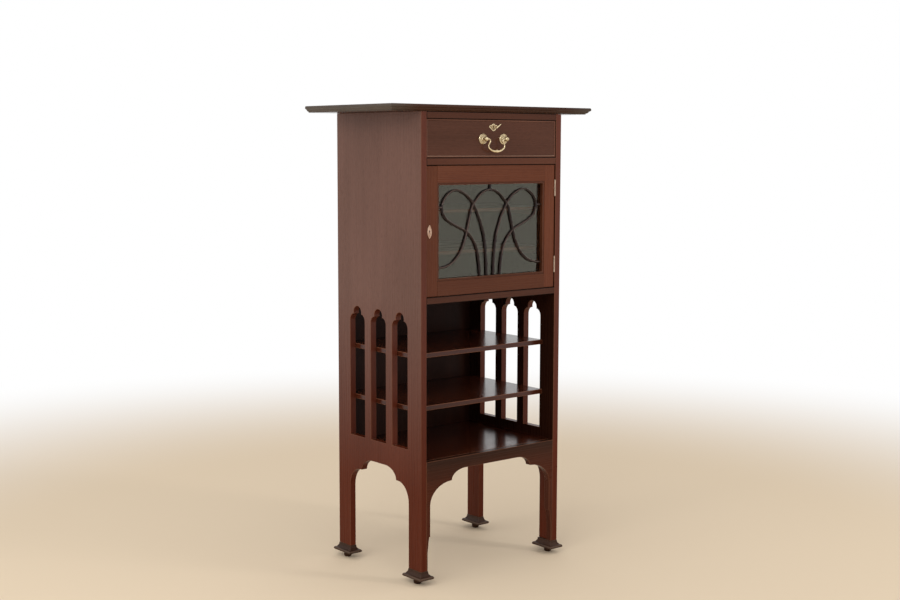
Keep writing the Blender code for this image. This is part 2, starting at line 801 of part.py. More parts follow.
shield_top = drawer_ceiling - SHIELD_TOP_DROP
shield_z = shield_top - SHIELD_HEIGHT / 2
shield_front = drawer_face - GAP - SHIELD_THICKNESS
drawer_escutcheon = plate(
    "drawer_escutcheon",
    SHIELD_SHARES,
    SHIELD_WIDTH / 2,
    SHIELD_HEIGHT / 2,
    0,
    shield_z,
    shield_front,
    SHIELD_THICKNESS,
    drawer_pivot,
)
lock_back = box_front + DRAWER_LOCK_THICKNESS
drawer_lock = box(
    "drawer_lock",
    (-DRAWER_LOCK_WIDTH / 2, box_front, shield_z - DRAWER_LOCK_HEIGHT / 2),
    (DRAWER_LOCK_WIDTH / 2, lock_back, shield_z + DRAWER_LOCK_HEIGHT / 2),
    brass,
    drawer_pivot,
    0,
)
cut_keyhole(
    "drawer_keyhole",
    0,
    shield_z + KEYHOLE_HEIGHT / 2,
    drawer_face - OVERRUN,
    lock_back - OVERRUN,
    (drawer_front, drawer_escutcheon, drawer_lock),
)

# The cover turns on a rivet through the shield's right-hand side, and hangs clear of the keyhole
cover_pivot = pivot("cover_pivot", (COVER_PIVOT_OFFSET, shield_front, shield_z))
cover_back = shield_front - GAP
cover_angle = math.radians(COVER_REST_ANGLE)


def cover_point(along, across):
    u = COVER_LENGTH * along
    v = COVER_WIDTH / 2 * across
    turn_cos, turn_sin = math.cos(cover_angle), math.sin(cover_angle)
    return (u * turn_cos - v * turn_sin, u * turn_sin + v * turn_cos)


cover_edge = [cover_point(u, v) for u, v in COVER_SHARES]
cover_edge += [cover_point(u, -v) for u, v in reversed(COVER_SHARES[1:-1])]
cover_middle = (COVER_PIVOT_OFFSET, cover_back - COVER_THICKNESS / 2, shield_z)
keyhole_cover = flat_piece(
    "keyhole_cover", [cover_edge], COVER_THICKNESS, cover_middle, "Y", brass, cover_pivot
)
keyhole_cover = solid_from_curve(keyhole_cover)
rivet_hole = rod_cutter(
    "rivet_hole", cover_middle, RIVET_RADIUS + GAP, 2 * OVERRUN, "Y"
)
combine(keyhole_cover, rivet_hole)
combine(drawer_escutcheon, rivet_hole)
rivet_length = SHIELD_THICKNESS + COVER_THICKNESS + 2 * GAP
turned(
    "cover_rivet",
    [
        (0, RIVET_HEAD_HEIGHT),
        (RIVET_HEAD_RADIUS * math.sqrt(0.5), RIVET_HEAD_HEIGHT * math.sqrt(0.5)),
        (RIVET_HEAD_RADIUS, 0),
        (RIVET_RADIUS, 0),
        (RIVET_RADIUS, -rivet_length),
        (0, -rivet_length),
    ],
    (COVER_PIVOT_OFFSET, cover_back - COVER_THICKNESS - GAP, shield_z),
    brass,
    drawer_pivot,
    "Y",
)

# Handle: two rosettes with knobs, bolted through the drawer front, and a swan-neck bail between
post_z = drawer_ceiling - POST_DROP
post_x = POST_SPACING / 2
bail_y = drawer_face - KNOB_STAND
bail_pivot = pivot("bail_pivot", (0, bail_y, post_z))
rosette_radius = ROSETTE_DIAMETER / 2
post_length = DRAWER_FRONT_THICKNESS + NUT_THICKNESS + 2 * GAP


def post_profile():
    """Radius and height in front of the drawer's face, from the knob down to the bolt's end."""
    neck_angle = math.degrees(math.acos(POST_NECK_RADIUS / KNOB_RADIUS))
    profile = [(max(r, 0), h) for r, h in arc((0, KNOB_STAND), KNOB_RADIUS, KNOB_RADIUS, 90, -neck_angle)]
    profile[0] = (0, KNOB_STAND + KNOB_RADIUS)
    profile += [
        (BOSS_RADIUS, ROSETTE_THICKNESS + ROSETTE_RIM),
        (rosette_radius - ROSETTE_RIM, ROSETTE_THICKNESS),
        (rosette_radius, ROSETTE_THICKNESS - ROSETTE_RIM),
        (rosette_radius, GAP),
        (SHANK_RADIUS, GAP),
        (SHANK_RADIUS, -post_length),
        (0, -post_length),
    ]
    return profile


bail_end_x = BAIL_SHARES[0][0] * BAIL_HALF_WIDTH
for side_name, side in (("left", -1), ("right", 1)):
    spot = (side * post_x, drawer_face, post_z)
    post = turned(f"handle_post_{side_name}", post_profile(), spot, brass, drawer_pivot, "Y")
    socket_start = post_x - KNOB_RADIUS - OVERRUN
    socket_end = bail_end_x + BAIL_HOLE_PLAY
    socket_middle = (side * (socket_start + socket_end) / 2, bail_y, post_z)
    socket = rod_cutter(
        f"bail_socket_{side_name}",
        socket_middle,
        BAIL_WIRE_RADIUS + BAIL_HOLE_PLAY,
        socket_end - socket_start,
        "X",
    )
    combine(post, socket)
    shank_hole = rod_cutter(
        f"shank_hole_{side_name}", spot, SHANK_RADIUS + GAP, 2 * (DRAWER_FRONT_THICKNESS + OVERRUN), "Y"
    )
    combine(drawer_front, shank_hole)
    nut_top = -DRAWER_FRONT_THICKNESS - GAP
    turned(
        f"handle_nut_{side_name}",
        [
            (SHANK_RADIUS + GAP, nut_top),
            (NUT_RADIUS, nut_top),
            (NUT_RADIUS, nut_top - NUT_THICKNESS),
            (SHANK_RADIUS + GAP, nut_top - NUT_THICKNESS),
            (SHANK_RADIUS + GAP, nut_top),
        ],
        spot,
        brass,
        drawer_pivot,
        "Y",
    )

bail_half = [(BAIL_HALF_WIDTH * u, bail_y, post_z - BAIL_DROP * v) for u, v in BAIL_SHARES]
bail_line = bail_half + [(-x, y, z) for x, y, z in reversed(bail_half[:-1])]
bail_radii = [BAIL_WIRE_RADIUS] * len(bail_line)
bail_middle = len(bail_half) - 1
bail_radii[bail_middle] = BAIL_GRIP_RADIUS
bent_bar("handle_bail", bail_line, bail_radii, 2, BAIL_STEPS, brass, bail_pivot)

# Door: stiles and rails with tenons, a moulding round the light, then fretwork, glass and a bead
hinge_x = inner_x - DOOR_GAP / 2
hinge_y = door_face - HINGE_AXIS_PROUD
door_pivot = pivot("door_pivot", (hinge_x, hinge_y, door_floor))
door_x = inner_x - DOOR_GAP
door_low = door_floor + DOOR_GAP
door_high = door_ceiling - DOOR_GAP
door_back = door_face + DOOR_THICKNESS
frame_x = door_x - DOOR_STILE_WIDTH  # inner edge of the stiles
frame_low = door_low + DOOR_BOTTOM_RAIL_WIDTH
frame_high = door_high - DOOR_TOP_RAIL_WIDTH
light_x = frame_x - GAP - DOOR_MOULDING_WIDTH
light_low = frame_low + GAP + DOOR_MOULDING_WIDTH
light_high = frame_high - GAP - DOOR_MOULDING_WIDTH
rebate_front = door_face + GLASS_SETBACK

rebate = box_cutter(
    "glass_rebate",
    (-frame_x - GLASS_LAP, rebate_front, frame_low - GLASS_LAP),
    (frame_x + GLASS_LAP, door_back + OVERRUN, frame_high + GLASS_LAP),
)
tenon_front = door_face + (GLASS_SETBACK - TENON_THICKNESS) / 2
tenon_back = tenon_front + TENON_THICKNESS
stiles = {}
for stile_name, side in (("lock", -1), ("hinge", 1)):
    ends = sorted((side * door_x, side * frame_x))
    low, high = (ends[0], door_face, door_low), (ends[1], door_back, door_high)
    stile = box(f"door_stile_{stile_name}", low, high, mahogany, door_pivot)
    stiles[stile_name] = combine(stile, rebate)


def door_rail(name, low, high):
    rail_x = frame_x - GAP
    tenon_x = frame_x + TENON_LENGTH
    full = ((door_face, low), (door_back, high))
    thin = ((tenon_front, low + TENON_SHOULDER), (tenon_back, high - TENON_SHOULDER))
    levels = [
        (-tenon_x, *thin),
        (-rail_x, *thin),
        (-rail_x, *full),
        (rail_x, *full),
        (rail_x, *thin),
        (tenon_x, *thin),
    ]
    rail = combine(lofted(name, levels, mahogany, "X", door_pivot), rebate)
    mortise = box_cutter(
        f"{name}_mortise",
        (-tenon_x, tenon_front, low + TENON_SHOULDER),
        (tenon_x, tenon_back, high - TENON_SHOULDER),
        GAP,
    )
    for stile in stiles.values():
        combine(stile, mortise)
    return rail


door_rail("door_rail_bottom", door_low, frame_low)
door_rail("door_rail_top", frame_high, door_high)

moulding_front = door_face + DOOR_MOULDING_SETBACK
ring(
    "door_moulding",
    frame_x - GAP,
    frame_low + GAP,
    frame_high - GAP,
    DOOR_MOULDING_WIDTH,
    moulding_front,
    rebate_front - GAP,
    dark_mahogany,
    door_pivot,
)
glass_x = frame_x + GLASS_LAP - GAP
glass_low = frame_low - GLASS_LAP + GAP
glass_high = frame_high + GLASS_LAP - GAP
glass_back = rebate_front + GLASS_THICKNESS
box(
    "door_glass",
    (-glass_x, rebate_front, glass_low),
    (glass_x, glass_back, glass_high),
    glass,
    door_pivot,
    0,
)
ring(
    "door_glazing_bead",
    glass_x,
    glass_low,
    glass_high,
    GLASS_LAP + DOOR_MOULDING_WIDTH,
    glass_back + GAP,
    door_back,
    dark_mahogany,
    door_pivot,
)


# Fretwork: curved bars joined where they cross, and cut off at the moulding
light_height = light_high - light_low
fretwork_y = door_face + FRETWORK_SETBACK


def fret_bar(name, shares, side):
    points = [(side * light_x * u, fretwork_y, light_low + light_height * v) for u, v in shares]
    radii = [FRETWORK_BAR_RADIUS] * len(points)
    bar = bent_bar(name, points, radii, 2, FRETWORK_STEPS, dark_mahogany, door_pivot)
    return solid_from_curve(bar)


arch_both = tuple((-u, v) for u, v in reversed(ARCH_BAR_SHARES[1:])) + ARCH_BAR_SHARES
fretwork = fret_bar("door_fretwork", arch_both, 1)
crossing = [fret_bar("crown_bar", CROWN_BAR_SHARES, 1)]
for side in (-1, 1):
    crossing.append(fret_bar(f"loop_bar_{side}", LOOP_BAR_SHARES, side))
    crossing.append(fret_bar(f"stub_bar_{side}", STUB_BAR_SHARES, side))
for bar in crossing:
    cabinet_parts.objects.unlink(bar)
    cutters.objects.link(as_cutter(bar))
    combine(fretwork, bar, "UNION", "MANIFOLD")
fretwork_limit = box_cutter(
    "fretwork_limit",
    (GAP - light_x, door_face, light_low + GAP),
    (light_x - GAP, rebate_front - GAP, light_high - GAP),
)
combine(fretwork, fretwork_limit, "INTERSECT", "MANIFOLD")

# Door lock on the back of the left stile, its escutcheon in front
key_x = DOOR_KEY_INSET - door_x
key_z = door_floor + DOOR_KEY_HEIGHT
door_escutcheon = plate(
    "door_escutcheon",
    DOOR_PLATE_SHARES,
    DOOR_PLATE_WIDTH / 2,
    DOOR_PLATE_HEIGHT / 2,
    key_x,
    key_z,
    door_face - GAP - DOOR_PLATE_THICKNESS,
    DOOR_PLATE_THICKNESS,
    door_pivot,
)
door_lock_front = door_back + GAP
door_lock_back = door_lock_front + DOOR_LOCK_THICKNESS
door_lock = box(
    "door_lock",
    (GAP - door_x, door_lock_front, key_z - DOOR_LOCK_HEIGHT / 2),
    (DOOR_LOCK_WIDTH - door_x, door_lock_back, key_z + DOOR_LOCK_HEIGHT / 2),
    steel,
    door_pivot,
    0,
)
cut_keyhole(
    "door_keyhole",
    key_x,
    key_z + KEYHOLE_HEIGHT / 2,
    door_face - OVERRUN,
    door_lock_back - OVERRUN,
    (stiles["lock"], door_escutcheon, door_lock),
)
stop_start = DOOR_STOP_INSET - inner_x
box(
    "door_stop",
    (stop_start, door_back + GAP, door_floor + GAP),
    (stop_start + DOOR_STOP_LENGTH, door_back + DOOR_STOP_WIDTH, door_floor + DOOR_STOP_HEIGHT),
    dark_mahogany,
)

# Butt hinges: each leaf is let in flush, with the knuckle standing proud of the door
ring_middle = (PIN_RADIUS + GAP + KNUCKLE_RADIUS) / 2
leaf_back = door_face + LEAF_DEPTH


def knuckle_tube(name, low, high):
    """One knuckle, bored for the pin, kept with the cutters because a leaf takes it in."""
    bore = PIN_RADIUS + GAP
    profile = [(bore, high), (KNUCKLE_RADIUS, high), (KNUCKLE_RADIUS, low), (bore, low), (bore, high)]
    tube = turned(name, profile, (hinge_x, hinge_y, 0), brass)
    cabinet_parts.objects.unlink(tube)
    cutters.objects.link(as_cutter(tube))
    return tube


def leaf(name, side, low, high, own, others, carrier):
    """A leaf on one side of the joint, with its own knuckles joined on and the others' cut out."""
    edge = hinge_x + side * DOOR_GAP / 2
    ends = sorted((edge, edge + side * LEAF_THICKNESS))
    corners = ((ends[0], hinge_y + ring_middle, low), (ends[1], leaf_back, high))
    piece = box(name, *corners, brass, carrier, 0)
    for i, (start, end) in enumerate(others):
        centre = (hinge_x, hinge_y, (start + end) / 2)
        room = rod_cutter(
            f"{name}_room_{i}", centre, KNUCKLE_RADIUS + KNUCKLE_CLEARANCE, end - start + 2 * GAP, "Z"
        )
        combine(piece, room)
    for i, (start, end) in enumerate(own):
        combine(piece, knuckle_tube(f"{name}_knuckle_{i}", start, end), "UNION")
    return corners


def hinge(name, low):
    high = low + HINGE_LENGTH
    third = (HINGE_LENGTH - 2 * GAP) / 3
    outer = [(low, low + third), (high - third, high)]
    inner = [(low + third + GAP, high - third - GAP)]
    frame_corners = leaf(f"hinge_{name}_frame_leaf", 1, low, high, outer, inner, None)
    door_corners = leaf(f"hinge_{name}_door_leaf", -1, low, high, inner, outer, door_pivot)
    turned(
        f"hinge_{name}_pin",
        [(0, high + PIN_END), (PIN_RADIUS, high + PIN_END), (PIN_RADIUS, low - PIN_END), (0, low - PIN_END)],
        (hinge_x, hinge_y, 0),
        brass,
    )
    room = rod_cutter(
        f"hinge_{name}_room",
        (hinge_x, hinge_y, (low + high) / 2),
        KNUCKLE_RADIUS + KNUCKLE_CLEARANCE,
        HINGE_LENGTH + 2 * (PIN_END + GAP),
        "Z",
    )
    for piece, corners in ((side_board_right, frame_corners), (stiles["hinge"], door_corners)):
        gain = box_cutter(f"hinge_{name}_gain_{piece.name}", *corners, GAP)
        combine(combine(piece, gain, solver="MANIFOLD"), room, solver="MANIFOLD")


hinge("lower", door_low + HINGE_END_MARGIN)
hinge("upper", door_high - HINGE_END_MARGIN - HINGE_LENGTH)

# Round pieces are shaded smooth, with their corners kept
for obj in cabinet_parts.objects:
    if obj.type == "MESH" and obj.name.startswith(("glide", "handle", "hinge", "door_fretwork", "cover")):
        obj.data.shade_smooth()
        obj.data.set_sharp_from_angle(angle=CORNER_ANGLE)
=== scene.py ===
"""Looks of the sheet music cabinet: varnished mahogany boards, brass handle and escutcheons, and
a glazed door with curved bars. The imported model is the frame, in metres, with its front to -Y."""

import json
import math

import bpy
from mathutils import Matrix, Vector

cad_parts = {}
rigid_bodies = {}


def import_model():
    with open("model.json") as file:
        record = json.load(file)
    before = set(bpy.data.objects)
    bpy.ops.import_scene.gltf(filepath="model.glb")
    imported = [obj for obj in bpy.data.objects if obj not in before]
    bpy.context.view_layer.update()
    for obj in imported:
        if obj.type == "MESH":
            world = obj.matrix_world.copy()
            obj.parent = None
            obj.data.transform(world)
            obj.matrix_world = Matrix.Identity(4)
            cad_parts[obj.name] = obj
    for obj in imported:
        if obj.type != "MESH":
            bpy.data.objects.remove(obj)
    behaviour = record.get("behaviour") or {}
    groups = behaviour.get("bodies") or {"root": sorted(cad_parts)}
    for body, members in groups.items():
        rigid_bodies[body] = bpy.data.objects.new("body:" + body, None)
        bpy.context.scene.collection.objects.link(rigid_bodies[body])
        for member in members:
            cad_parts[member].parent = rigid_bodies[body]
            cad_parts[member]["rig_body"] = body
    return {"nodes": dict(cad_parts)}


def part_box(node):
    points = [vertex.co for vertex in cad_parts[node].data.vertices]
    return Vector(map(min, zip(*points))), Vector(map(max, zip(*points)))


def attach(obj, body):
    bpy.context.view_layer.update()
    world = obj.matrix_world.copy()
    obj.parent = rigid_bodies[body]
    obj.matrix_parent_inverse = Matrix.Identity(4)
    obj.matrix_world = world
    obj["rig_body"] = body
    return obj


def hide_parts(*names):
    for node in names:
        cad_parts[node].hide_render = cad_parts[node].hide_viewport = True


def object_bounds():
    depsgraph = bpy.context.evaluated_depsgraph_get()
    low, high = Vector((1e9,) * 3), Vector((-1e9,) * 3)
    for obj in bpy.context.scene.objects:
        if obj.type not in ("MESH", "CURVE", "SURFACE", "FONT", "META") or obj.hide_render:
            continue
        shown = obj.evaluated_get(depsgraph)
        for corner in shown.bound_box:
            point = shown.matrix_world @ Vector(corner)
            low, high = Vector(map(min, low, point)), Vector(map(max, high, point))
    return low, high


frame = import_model()
cad_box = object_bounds()
nodes = frame["nodes"]

# Side boards. Each is one wide mahogany board from the top down to the feet, its grain upright. It
# is sawn out between the legs and pierced with three lancets, then sanded and varnished.
side_arris = 0.0007
side_deep = (0.072, 0.010, 0.0025)
side_warm = (0.110, 0.018, 0.0055)
# painted reflection: a greyer tone for the white room mirrored in the varnish of the side boards
side_sheen_deep = (0.118, 0.057, 0.040)
side_sheen_warm = (0.160, 0.079, 0.058)
painted_side_sheen = {
    "tones": (side_sheen_deep, side_sheen_warm),
    "heights": (0.22, 0.70),  # the sides take the painted sheen from the lower height up to the upper one
    "reach": (0.2266, 0.2276),  # and more on their outside, this far from the cabinet's middle
    "shares": (0.25, 1.0),  # than on their front edges
}
inner_shade_deep = (0.016, 0.005, 0.0025)
inner_shade_warm = (0.030, 0.008, 0.0035)
painted_inner_shade = {
    "tones": (inner_shade_deep, inner_shade_warm),
    "heights": (0.27, 0.31),  # painted shade on their inner faces, from the bay floor up
    "reach": (0.2113, 0.2119),
    "shares": (1.0, 0.0),
}
# the eased edges are drawn lighter: wear, and a painted highlight where they catch the light
wear_and_highlight_deep = (0.130, 0.045, 0.022)
wear_and_highlight_warm = (0.220, 0.090, 0.048)
hinge_reach = 0.020  # from the front edge, where the hinges are let in
ribbon_grain = (45, 2.5, 2)  # how fine it is across and along the grain, and its detail
line_grain = (380, 7, 4)
cloud_grain = (7, 3, 1)
pore_grain = (1500, 70, 1)
figure_span = (0.30, 0.70)  # the part of each noise that is used
pore_span = (0.56, 0.70)
ribbon_share = 0.28
line_share = 0.17
cloud_share = 0.55
pore_tint = (0.72, 0.66, 0.62)
line_dulling = 0.10
relief_strength = 0.15
relief_depth = 0.0002
merge_gap = 0.00002
flat_angle = math.radians(0.5)
sharp_angle = math.radians(30)
smooth_angle = math.radians(35)


def mahogany(name, grain, start, deep, warm, shine=0.22, gloss=0.12, painted_layers=()):
    """Varnished mahogany: ribbon figure, fine grain and open pores, all drawn out along the grain.
    Painted layers of sheen and of shade each take it over to two other tones, from none to full
    between two heights, and from its first share to its second between two distances from the
    middle of the cabinet."""
    made = bpy.data.materials.new(name)
    made.use_nodes = True
    tree = made.node_tree
    shader = tree.nodes["Principled BSDF"]
    shader.inputs["Specular IOR Level"].default_value = gloss
    place = tree.nodes.new("ShaderNodeTexCoord")

    def drawn_out(across, along, detail):
        scales = [along if axis == grain else across for axis in "XYZ"]
        stretch = tree.nodes.new("ShaderNodeMapping")
        stretch.inputs["Location"].default_value = start
        stretch.inputs["Scale"].default_value = scales
        noise = tree.nodes.new("ShaderNodeTexNoise")
        noise.inputs["Scale"].default_value = 1.0
        noise.inputs["Detail"].default_value = detail
        tree.links.new(place.outputs["Object"], stretch.inputs["Vector"])
        tree.links.new(stretch.outputs["Vector"], noise.inputs["Vector"])
        return noise.outputs["Fac"]

    def ranged(value, low, high, to_low, to_high):
        node = tree.nodes.new("ShaderNodeMapRange")
        for i, number in enumerate((low, high, to_low, to_high), 1):
            node.inputs[i].default_value = number
        tree.links.new(value, node.inputs["Value"])
        return node.outputs["Result"]

    def added(first, second):
        node = tree.nodes.new("ShaderNodeMath")
        tree.links.new(first, node.inputs[0])
        tree.links.new(second, node.inputs[1])
        return node.outputs[0]

    def toned(value, dark, light):
        node = tree.nodes.new("ShaderNodeValToRGB")
        node.color_ramp.elements[0].color = (*dark, 1)
        node.color_ramp.elements[1].color = (*light, 1)
        tree.links.new(value, node.inputs["Fac"])
        return node.outputs["Color"]

    def mixed(share, first):
        node = tree.nodes.new("ShaderNodeMix")
        node.data_type = "RGBA"
        tree.links.new(share, node.inputs["Factor"])
        tree.links.new(first, node.inputs[6])
        return node

    ribbon = ranged(drawn_out(*ribbon_grain), *figure_span, 0.0, ribbon_share)
    lines = ranged(drawn_out(*line_grain), *figure_span, 0.0, line_share)
    cloud = ranged(drawn_out(*cloud_grain), *figure_span, 0.0, cloud_share)
    figure = added(added(ribbon, lines), cloud)
    colour = toned(figure, deep, warm)
    for painted_layer in painted_layers:
        spot = tree.nodes.new("ShaderNodeSeparateXYZ")
        tree.links.new(place.outputs["Object"], spot.inputs["Vector"])
        outward = tree.nodes.new("ShaderNodeMath")
        outward.operation = "ABSOLUTE"
        tree.links.new(spot.outputs["X"], outward.inputs[0])
        painted_share = tree.nodes.new("ShaderNodeMath")
        painted_share.operation = "MULTIPLY"
        beyond = ranged(outward.outputs[0], *painted_layer["reach"], *painted_layer["shares"])
        above = ranged(spot.outputs["Z"], *painted_layer["heights"], 0.0, 1.0)
        tree.links.new(beyond, painted_share.inputs[0])
        tree.links.new(above, painted_share.inputs[1])
        over = mixed(painted_share.outputs[0], colour)
        tree.links.new(toned(figure, *painted_layer["tones"]), over.inputs[7])
        colour = over.outputs[2]
    pores = ranged(drawn_out(*pore_grain), *pore_span, 0.0, 1.0)
    pored = mixed(pores, colour)
    pored.blend_type = "MULTIPLY"
    pored.inputs[7].default_value = (*pore_tint, 1)
    tree.links.new(pored.outputs[2], shader.inputs["Base Color"])
    dulled = ranged(lines, 0.0, line_share, shine, shine + line_dulling)
    tree.links.new(dulled, shader.inputs["Roughness"])
    relief = tree.nodes.new("ShaderNodeBump")
    relief.inputs["Strength"].default_value = relief_strength
    relief.inputs["Distance"].default_value = relief_depth
    relief.invert = True
    tree.links.new(added(pores, lines), relief.inputs["Height"])
    tree.links.new(relief.outputs["Normal"], shader.inputs["Normal"])
    return made


def pick(piece):
    """Makes a piece the only selected one, for the operators."""
    bpy.ops.object.select_all(action="DESELECT")
    piece.select_set(True)
    bpy.context.view_layer.objects.active = piece


def dressed(piece, node, *finishes):
    """The piece takes the node's place and body, and its finishes if it has none yet."""
    if tuple(piece.data.materials) != finishes:
        piece.data.materials.clear()
        for material in finishes:
            piece.data.materials.append(material)
    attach(piece, nodes[node]["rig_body"])
    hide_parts(node)
    return piece


wear_and_highlight_wood = mahogany("wear_and_highlight_mahogany", "Z", (3.1, 0.9, 2.5), wear_and_highlight_deep, wear_and_highlight_warm)


def worked(name, node, finishes, arris, spared=None):
    """A copy of a CAD piece with its triangles joined and its sharp edges eased, apart from those
    that are spared. The eased edges take the last of its finishes."""
    piece = bpy.data.objects.new(name, nodes[node].data.copy())
    bpy.context.scene.collection.objects.link(piece)
    dressed(piece, node, *finishes)
    pick(piece)
    bpy.ops.object.mode_set(mode="EDIT")
    bpy.ops.mesh.select_all(action="SELECT")
    bpy.ops.mesh.remove_doubles(threshold=merge_gap)
    bpy.ops.mesh.dissolve_limited(angle_limit=flat_angle)
    if arris:
        bpy.ops.mesh.select_all(action="DESELECT")
        bpy.ops.mesh.select_mode(type="EDGE")
        bpy.ops.mesh.edges_select_sharp(sharpness=sharp_angle)
        bpy.ops.object.mode_set(mode="OBJECT")
        points = piece.data.vertices
        for edge in piece.data.edges:
            if spared and spared(*(points[i].co for i in edge.vertices)):
                edge.select = False
        bpy.ops.object.mode_set(mode="EDIT")
        bpy.ops.mesh.bevel(
            offset=arris,
            segments=2,
            affect="EDGES",
            clamp_overlap=False,
            material=len(finishes) - 1,
        )
    bpy.ops.object.mode_set(mode="OBJECT")
    bpy.ops.object.shade_smooth_by_angle(angle=smooth_angle)
    bpy.ops.object.modifier_add(type="WEIGHTED_NORMAL")
    piece.modifiers[0].keep_sharp = True
    bpy.ops.object.modifier_apply(modifier=piece.modifiers[0].name)
    return piece


def by_hinge(*ends):
    """True where the right-hand side is cut for the hinges."""
    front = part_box("side_board_right")[0].y
    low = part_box("hinge_lower_pin")[0].z - hinge_reach
    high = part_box("hinge_upper_pin")[1].z + hinge_reach
    return any(end.y < front + hinge_reach and low < end.z < high for end in ends)


figure_starts = {"left": (0.3, 1.7, 0.2), "right": (5.1, 8.2, 3.3)}
for side, start in figure_starts.items():
    board = mahogany(
        f"{side}_side_mahogany",
        "Z",
        start,
        side_deep,
        side_warm,
        shine=0.24,
        painted_layers=(painted_side_sheen, painted_inner_shade),
    )
    spared = by_hinge if side == "right" else None
    worked(f"{side}_side_board", f"side_board_{side}", (board, wear_and_highlight_wood), side_arris, spared)

# Front apron. A mahogany rail under the bays with stepped brackets, and a narrow strip with its
# grain upright down the inside of each front leg, glued between the side boards.
apron_deep = (0.055, 0.011, 0.004)
apron_warm = (0.088, 0.020, 0.008)
shaded_deep = (0.024, 0.008, 0.004)
shaded_warm = (0.042, 0.015, 0.007)
shaded = {
    "tones": (shaded_deep, shaded_warm),
    "heights": (0.235, 0.300),  # the apron is darker towards the bay floor
    "reach": (-2.0, -1.0),  # over its whole length
    "shares": (0.0, 1.0),
}
strip_top = 0.195  # where the brackets spring from
apron_wood = mahogany(
    "apron_mahogany", "X", (2.2, 0.4, 6.1), apron_deep, apron_warm, painted_layers=(shaded,)
)
strip_wood = mahogany("leg_strip_mahogany", "Z", (7.2, 3.4, 1.1), apron_deep, apron_warm)
apron = worked("bracketed_apron", "front_apron", (apron_wood, wear_and_highlight_wood), side_arris)
pick(apron)
bpy.ops.object.mode_set(mode="EDIT")
bpy.ops.mesh.select_all(action="SELECT")
bpy.ops.mesh.bisect(plane_co=(0, 0, strip_top), plane_no=(0, 0, 1))
bpy.ops.object.mode_set(mode="OBJECT")
apron.data.materials.append(strip_wood)
for face in apron.data.polygons:
    if face.center.z < strip_top and face.material_index == 0:
        face.material_index = 2

# Boards and rails between the sides. Planed mahogany housed in the side boards: the floor and two
# shelves of the open bays, drawn dark as painted shade, and the boards whose front edges frame the
# door and the drawer, with painted shade on their eased edges where the gaps there are dark.
rail_deep = (0.078, 0.024, 0.012)
rail_warm = (0.124, 0.041, 0.020)
# the floor and shelves of the open bays are drawn dark as painted shade
shaded_shelf_deep = (0.034, 0.007, 0.003)
shaded_shelf_warm = (0.070, 0.017, 0.007)
board_arris = 0.0005
# painted shade on the rails' eased edges, where the gaps round the door and the drawer are dark
gap_shade_deep = (0.006, 0.002, 0.001)
gap_shade_warm = (0.014, 0.005, 0.003)
painted_gap_shade = mahogany("painted_gap_shade", "X", (6.6, 2.3, 0.8), gap_shade_deep, gap_shade_warm, shine=0.45)


def finish(node, material):
    """A CAD node that keeps its own mesh takes its finish."""
    nodes[node].data.materials.clear()
    nodes[node].data.materials.append(material)


rail_start = 0.0  # moves on from board to board, so that no two have one figure
start_step = 3.7
rails = (
    ("cupboard_floor_board", 0.66),
    ("drawer_divider_board", 0.94),
    ("top_rail_front", 0.74),
    ("top_rail_back", 0.80),
)  # the node and how light it is drawn, the darker ones with painted shade, as the front top rail under the overhanging top
for node, light in rails:
    rail_start += start_step
    start = (rail_start, rail_start, 2 * rail_start)
    tones = [[light * share for share in tone] for tone in (rail_deep, rail_warm)]
    rail_wood = mahogany(f"{node}_mahogany", "X", start, *tones)
    worked(f"{node}_planed", node, (rail_wood, painted_gap_shade), board_arris)
for node in ("bottom_board", "open_shelf_lower", "open_shelf_upper"):
    rail_start += start_step
    start = (rail_start, 2 * rail_start, rail_start)
    shelf_wood = mahogany(
        f"{node}_mahogany", "X", start, shaded_shelf_deep, shaded_shelf_warm, shine=0.14, gloss=0.3
    )
    worked(f"{node}_planed", node, (shelf_wood, wear_and_highlight_wood), board_arris)

# Back panel. A thin dark board behind the bays and the cupboard, with its grain upright, held by
# small round-headed pins along its edges.
panel_deep = (0.022, 0.007, 0.004)
panel_warm = (0.046, 0.015, 0.008)
pin_head = 0.0022
pin_rise = 0.0006
pin_inset = 0.006
pin_spacing = 0.11
pin_sides = 12
worn_span = (0.44, 0.54)  # from hollows to edges
patch_span = (0.25, 0.60)
patch_least = 0.35
hollow_dulling = 0.22
panel_wood = mahogany(
    "back_panel_mahogany", "Z", (9.0, 2.0, 4.0), panel_deep, panel_warm, shine=0.35
)
finish("back_panel", panel_wood)


def turned(name, centre, outline, sides):
    """A turned piece that faces forward: a disc drawn out through pairs of radius and height."""
    centre = Vector(centre)
    radius, height = outline[0]
    bpy.ops.object.select_all(action="DESELECT")
    bpy.ops.mesh.primitive_circle_add(
        vertices=sides,
        radius=radius,
        fill_type="NGON",
        location=centre - Vector((0, height, 0)),
        rotation=(math.pi / 2, 0, 0),
    )
    piece = bpy.context.object
    piece.name = name
    bpy.ops.object.transform_apply(location=True, rotation=True, scale=True)
    bpy.ops.object.mode_set(mode="EDIT")
    bpy.ops.mesh.select_all(action="SELECT")
    for new_radius, new_height in outline[1:]:
        bpy.ops.mesh.extrude_region_move(
            TRANSFORM_OT_translate={"value": (0, height - new_height, 0)}
        )
        share = new_radius / radius
        bpy.ops.transform.resize(value=(share, 1, share), center_override=centre)
        radius, height = new_radius, new_height
    bpy.ops.mesh.select_all(action="SELECT")
    bpy.ops.mesh.normals_make_consistent(inside=False)
    bpy.ops.object.mode_set(mode="OBJECT")
    bpy.ops.object.shade_smooth_by_angle(angle=smooth_angle)
    return piece


